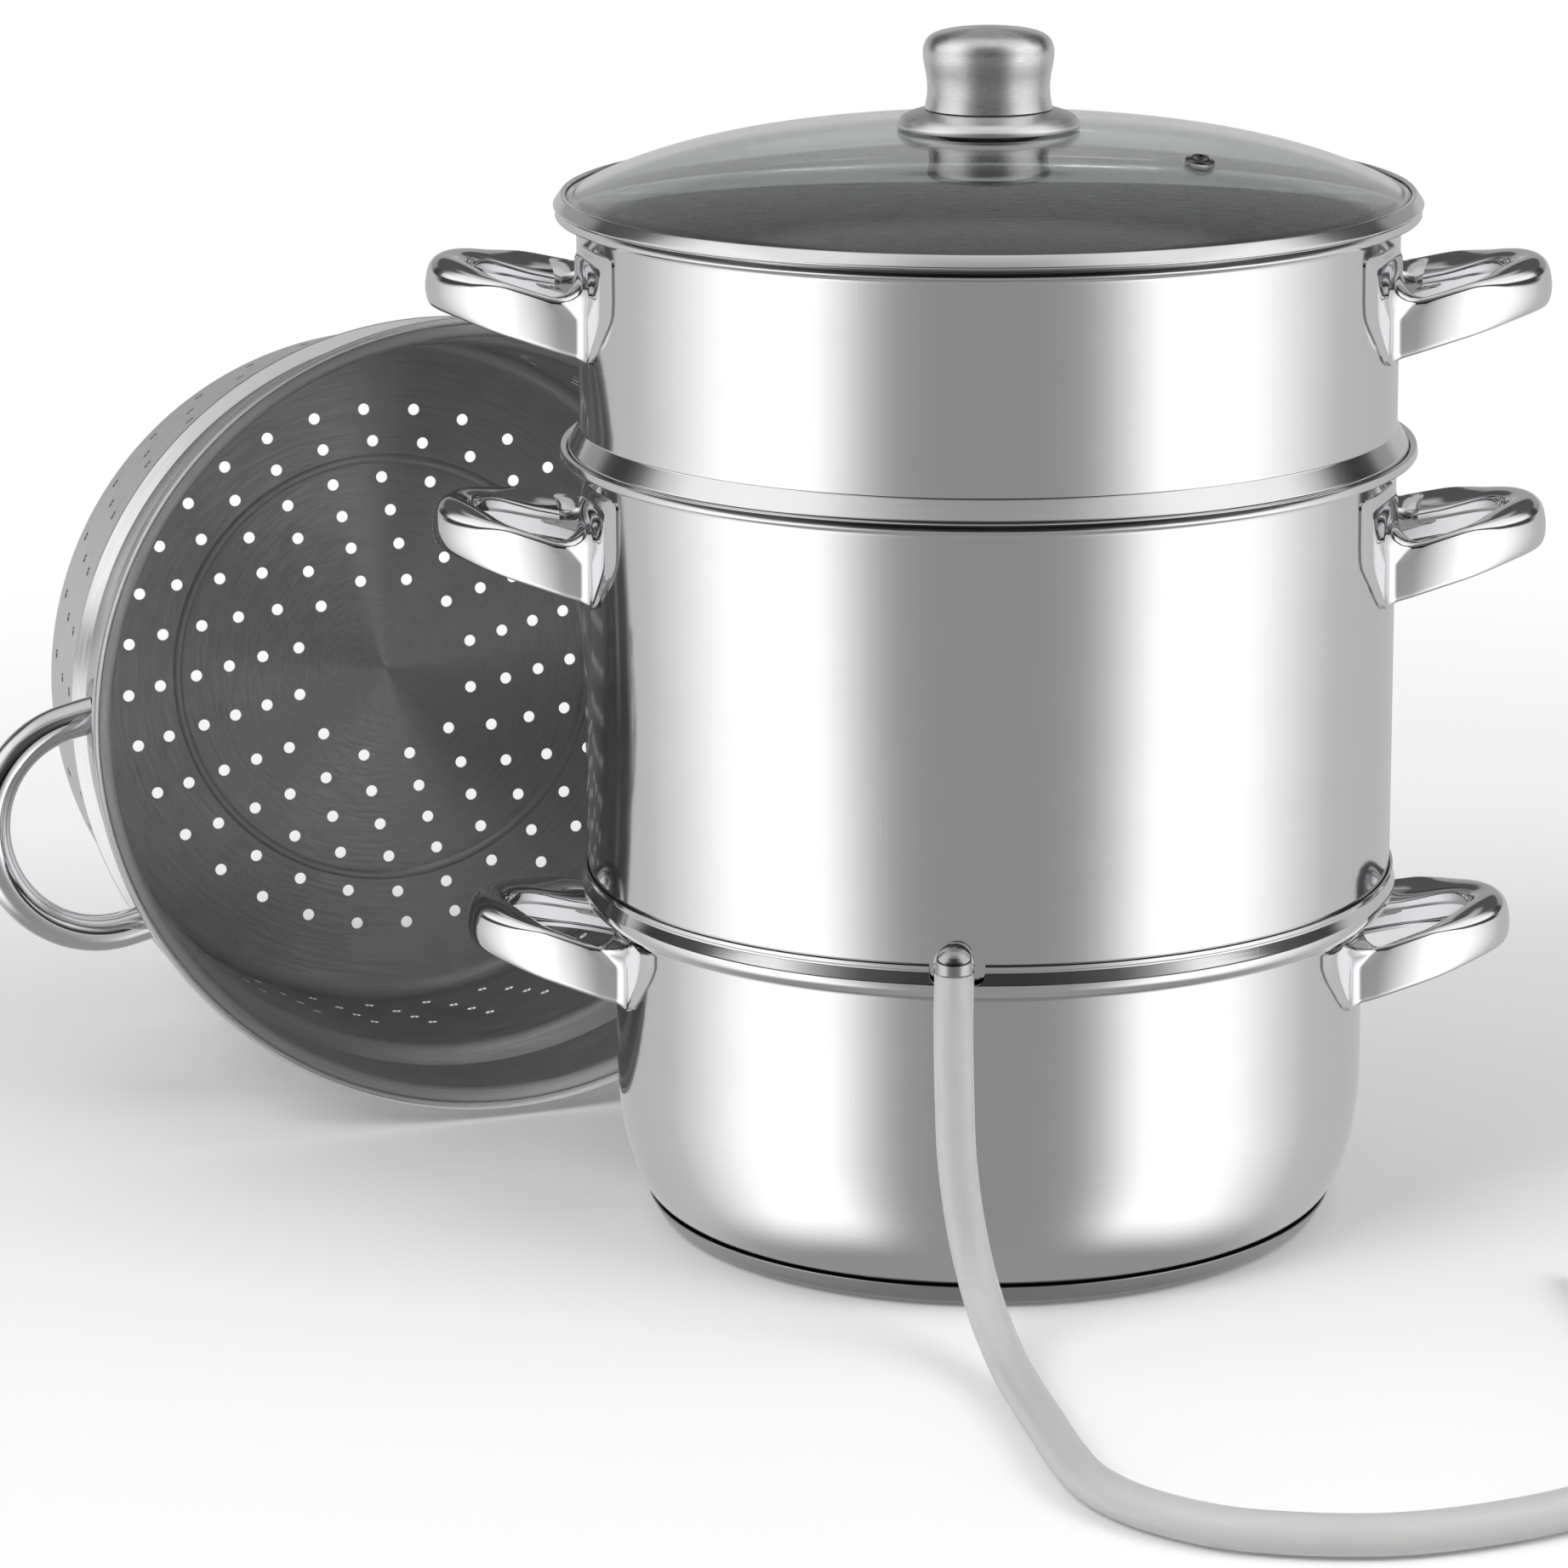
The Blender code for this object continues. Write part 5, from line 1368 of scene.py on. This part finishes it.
def make_strainer():
    """The strainer that lies on its side: its shell, two bent tubes and their weld plates."""
    data = perforated_shell("loose_strainer_shell", STRAINER_NEST, STRAINER_DEPTH, WALL_ROWS)
    add_piece(
        "loose_strainer_shell", data, ("strainer_outside", "strainer_inside"), "strainer",
        ["strainer_shell"], STRAINER_FRAME,
    )
    cope = TIER_RADIUS + 2 * GAP + BRACKET_SHEET
    start = math.sqrt(cope**2 - TUBE_SPREAD**2)
    turn = start + TUBE_STRAIGHT
    reach = TIER_RADIUS + TUBE_REACH
    points = [Vector((start, -TUBE_SPREAD, 0)), Vector((start + TUBE_STRAIGHT / 2, -TUBE_SPREAD, 0))]
    steps = 48
    for index in range(steps + 1):
        angle = -math.pi / 2 + math.pi * index / steps
        points.append(Vector((turn + (reach - turn) * math.cos(angle), TUBE_SPREAD * math.sin(angle), 0)))
    points += [Vector((start + TUBE_STRAIGHT / 2, TUBE_SPREAD, 0)), Vector((start, TUBE_SPREAD, 0))]

    def on_wall(spot):
        return Vector((math.sqrt(cope**2 - spot.y**2), spot.y, spot.z))

    tube = pipe("tube", points, TUBE_RADIUS, TUBE_BORE, 32, on_wall)
    for side, angle in (("right", 0.0), ("left", math.pi)):
        arm = (
            STRAINER_FRAME
            @ Matrix.Translation((0, 0, STRAINER_DEPTH - BRACKET_DROP))
            @ Matrix.Rotation(angle, 4, "Z")
        )
        add_piece(
            f"strainer_tube_{side}", tube.copy(), ("handle",), "strainer",
            [f"strainer_handle_{side}"], arm,
        )
        for end, sign in (("a", -1), ("b", 1)):
            add_piece(
                f"strainer_plate_{side}_{end}", weld_plate(sign), ("satin",), "strainer",
                [f"strainer_bracket_{side}_{end}"], arm,
            )


def weld_plate(sign):
    """An oval plate with a soft edge that hugs the wall behind one tube end."""
    middle = sign * math.asin(TUBE_SPREAD / TIER_RADIUS)
    near = TIER_RADIUS + GAP
    shape = bmesh.new()
    rings = []
    count = 40
    for share, out in BRACKET_LINE:
        corners = []
        for index in range(count):
            turn = math.tau * index / count
            angle = middle + share * BRACKET_LONG / 2 / TIER_RADIUS * math.cos(turn)
            radius = near + BRACKET_SHEET * out
            height = share * BRACKET_WIDE / 2 * math.sin(turn)
            corners.append(shape.verts.new((radius * math.cos(angle), radius * math.sin(angle), height)))
        rings.append(corners)
    for lower, upper in zip(rings, rings[1:], strict=False):
        skin(shape, lower, upper)
    shape.faces.new(rings[0])
    shape.faces.new(rings[-1])
    bmesh.ops.recalc_face_normals(shape, faces=shape.faces)
    return mesh_from(shape, "weld_plate")


# Kept CAD pieces

def dress_clamp():
    """The hose clamp is shown by its CAD solids, in the satin finish."""
    for name in CLAMP:
        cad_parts[name].visible_glossy = False
        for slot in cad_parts[name].material_slots:
            slot.material = FINISHES["satin"]


# Studio

def make_floor():
    """A white table that keeps the shadow near the juicer and fades into the backdrop."""
    shape = bmesh.new()
    bmesh.ops.create_grid(shape, x_segments=1, y_segments=1, size=FLOOR_HALF)
    floor = placed("floor", mesh_from(shape, "floor"))
    floor.location = (0, 0, -FLOOR_DROP)
    floor.visible_glossy = False
    made, tree, shader = new_finish("floor_white")
    shader.inputs["Base Color"].default_value = (0.93, 0.93, 0.93, 1.0)
    shader.inputs["Roughness"].default_value = 0.9
    shader.inputs["Specular IOR Level"].default_value = 0.0
    reach = add_node(tree, "ShaderNodeVectorMath", {"operation": "LENGTH"})
    tree.links.new(piece_spot(tree), reach.inputs[0])
    fade = remap(tree, reach.outputs["Value"], *FLOOR_FADE)
    seen = add_node(tree, "ShaderNodeLightPath").outputs["Is Camera Ray"]
    plain = maths(tree, "MULTIPLY", seen, fade)
    white = add_node(tree, "ShaderNodeEmission", Color=WHITE, Strength=1.0)
    shown = join_shaders(tree, plain, shader.outputs[0], white.outputs[0])
    tree.links.new(shown, tree.nodes["Material Output"].inputs["Surface"])
    floor.data.materials.append(made)


def ramp(tree, value, stops):
    """A level that runs smoothly through stops of (value, level), with levels up to 2."""
    made = add_node(tree, "ShaderNodeValToRGB", Fac=value)
    made.color_ramp.interpolation = "B_SPLINE"
    elements = made.color_ramp.elements
    while len(elements) < len(stops):
        elements.new(0.5)
    for element, (place, level) in zip(elements, stops, strict=True):
        element.position = place
        element.color = (level / 2, level / 2, level / 2, 1.0)
    return maths(tree, "MULTIPLY", made.outputs[0], 2.0)


def make_studio():
    """A light tent: white at both sides, grey before and behind, with a dark seam above the table."""
    world = bpy.data.worlds.new("studio")
    bpy.context.scene.world = world
    world.use_nodes = True
    tree = world.node_tree
    way = add_node(tree, "ShaderNodeTexCoord").outputs["Generated"]
    parts = add_node(tree, "ShaderNodeSeparateXYZ", Vector=way).outputs
    side = maths(tree, "ABSOLUTE", parts["X"])
    turn = maths(tree, "ARCTAN2", side, maths(tree, "MULTIPLY", parts["Y"], -1.0))
    around = maths(tree, "DIVIDE", turn, math.pi)
    rise = parts["Z"]
    level = TENT_FOOT
    for low, high, stops in TENT_BANDS:
        level = blend(tree, remap(tree, rise, low, high), level, ramp(tree, around, stops))
    level = blend(tree, remap(tree, rise, *TENT_TOP_START), level, TENT_TOP)
    seam = maths(tree, "ABSOLUTE", maths(tree, "SUBTRACT", rise, SEAM_RISE))
    seam = remap(tree, seam, *SEAM_HALF, SEAM_LEVEL, 1.0)
    seam = blend(tree, remap(tree, around, *SEAM_END), seam, 1.0)
    studio = tree.nodes["Background"]
    tree.links.new(maths(tree, "MULTIPLY", level, seam), studio.inputs["Strength"])
    studio.inputs["Color"].default_value = WHITE
    backdrop = add_node(tree, "ShaderNodeBackground", Color=WHITE, Strength=1.0)
    rays = add_node(tree, "ShaderNodeLightPath").outputs
    seen = maths(tree, "MAXIMUM", rays["Is Camera Ray"], rays["Is Transmission Ray"])
    shown = join_shaders(tree, seen, studio.outputs[0], backdrop.outputs[0])
    tree.links.new(shown, tree.nodes["World Output"].inputs["Surface"])


def make_lamp(name, place, power):
    """A square lamp that lights the juicer but isn't mirrored in it."""
    data = bpy.data.lights.new(name, "AREA")
    data.shape = "RECTANGLE"
    data.size = data.size_y = LAMP_SIZE
    data.energy = power
    lamp = placed(name, data)
    lamp.location = place
    aim = Vector(LAMP_AIM) - Vector(place)
    lamp.rotation_euler = aim.to_track_quat("-Z", "Y").to_euler()
    lamp.visible_glossy = False


place_camera()
GROUPS = {"brush_lines": brush_lines_group(), "handling_marks": handling_group()}

# A steel has a colour, a roughness, dulling by use, brushing (fineness and depth) and pressing waves
FINISHES = {
    "polished": steel("steel_polished", (0.72, 0.72, 0.73), 0.085, 0.05, 1800.0, 0.05, 0.10),
    "handle": steel("steel_handle", (0.72, 0.72, 0.73), 0.065, 0.05, 1500.0, 0.02, 0.06),
    "satin": steel("steel_satin", (0.55, 0.55, 0.56), 0.30, 0.05, 2600.0, 0.30, 0.05),
    "strainer_outside": steel(
        "steel_strainer_outside", (0.78, 0.78, 0.79), 0.30, 0.03, 1800.0, 0.01, 0.0, STRAINER_FRAME,
    ),
    # The steamer's inside: the same steel as outside, written far darker as a painted shade for the hollow
    # under the lid
    "inside": steel(
        "steel_inside_painted_shade", (0.18, 0.18, 0.184), 0.28, 0.04, 1500.0, 0.01, 0.03, drawn=0.6, grain=0.04
    ),
    "strainer_inside": steel(
        "steel_strainer_inside", (0.64, 0.64, 0.645), 0.40, 0.04, 800.0, 0.20, 0.03, STRAINER_FRAME,
        drawn=0.95, grain=0.25,
    ),
    "grip": steel("steel_grip", (0.80, 0.80, 0.81), 0.31, 0.02, 3000.0, 0.01, 0.0, drawn=0.9),
    "skirt": steel("steel_skirt", (0.86, 0.86, 0.87), 0.38, 0.03, 2600.0, 0.01, 0.0),
    "spout": steel("steel_spout", (0.40, 0.40, 0.405), 0.09, 0.05, 1800.0, 0.03, 0.05),
    "vent": steel("steel_vent", (0.12, 0.12, 0.124), 0.16, 0.05, 1800.0, 0.03, 0.0),
    "base": steel("steel_base", (0.42, 0.42, 0.43), 0.36, 0.06, 2000.0, 0.35, 0.0),
    "core": steel("aluminium_core", (0.60, 0.60, 0.61), 0.45, 0.05, 900.0, 0.2, 0.0),
    "glass": lid_glass_finish(),
    "silicone": silicone_finish(),
}
make_hose()
dress_clamp()
make_pot()
make_kettle()
make_steamer()
make_strap_handles("pot", POT_RADIUS, "water_pot")
make_strap_handles("kettle", TIER_RADIUS, "juice_kettle")
make_strap_handles("steamer", TIER_RADIUS, "steamer")
make_spout()
make_glass()
make_lid_band()
make_knob()
make_knob_fixing()
make_vent()
make_strainer()
make_floor()
make_studio()
make_lamp("key_lamp", (-1.2, -1.4, 1.9), 22.0)
make_lamp("fill_lamp", (1.4, -0.9, 1.5), 12.0)
bpy.context.scene.view_settings.view_transform = "Standard"
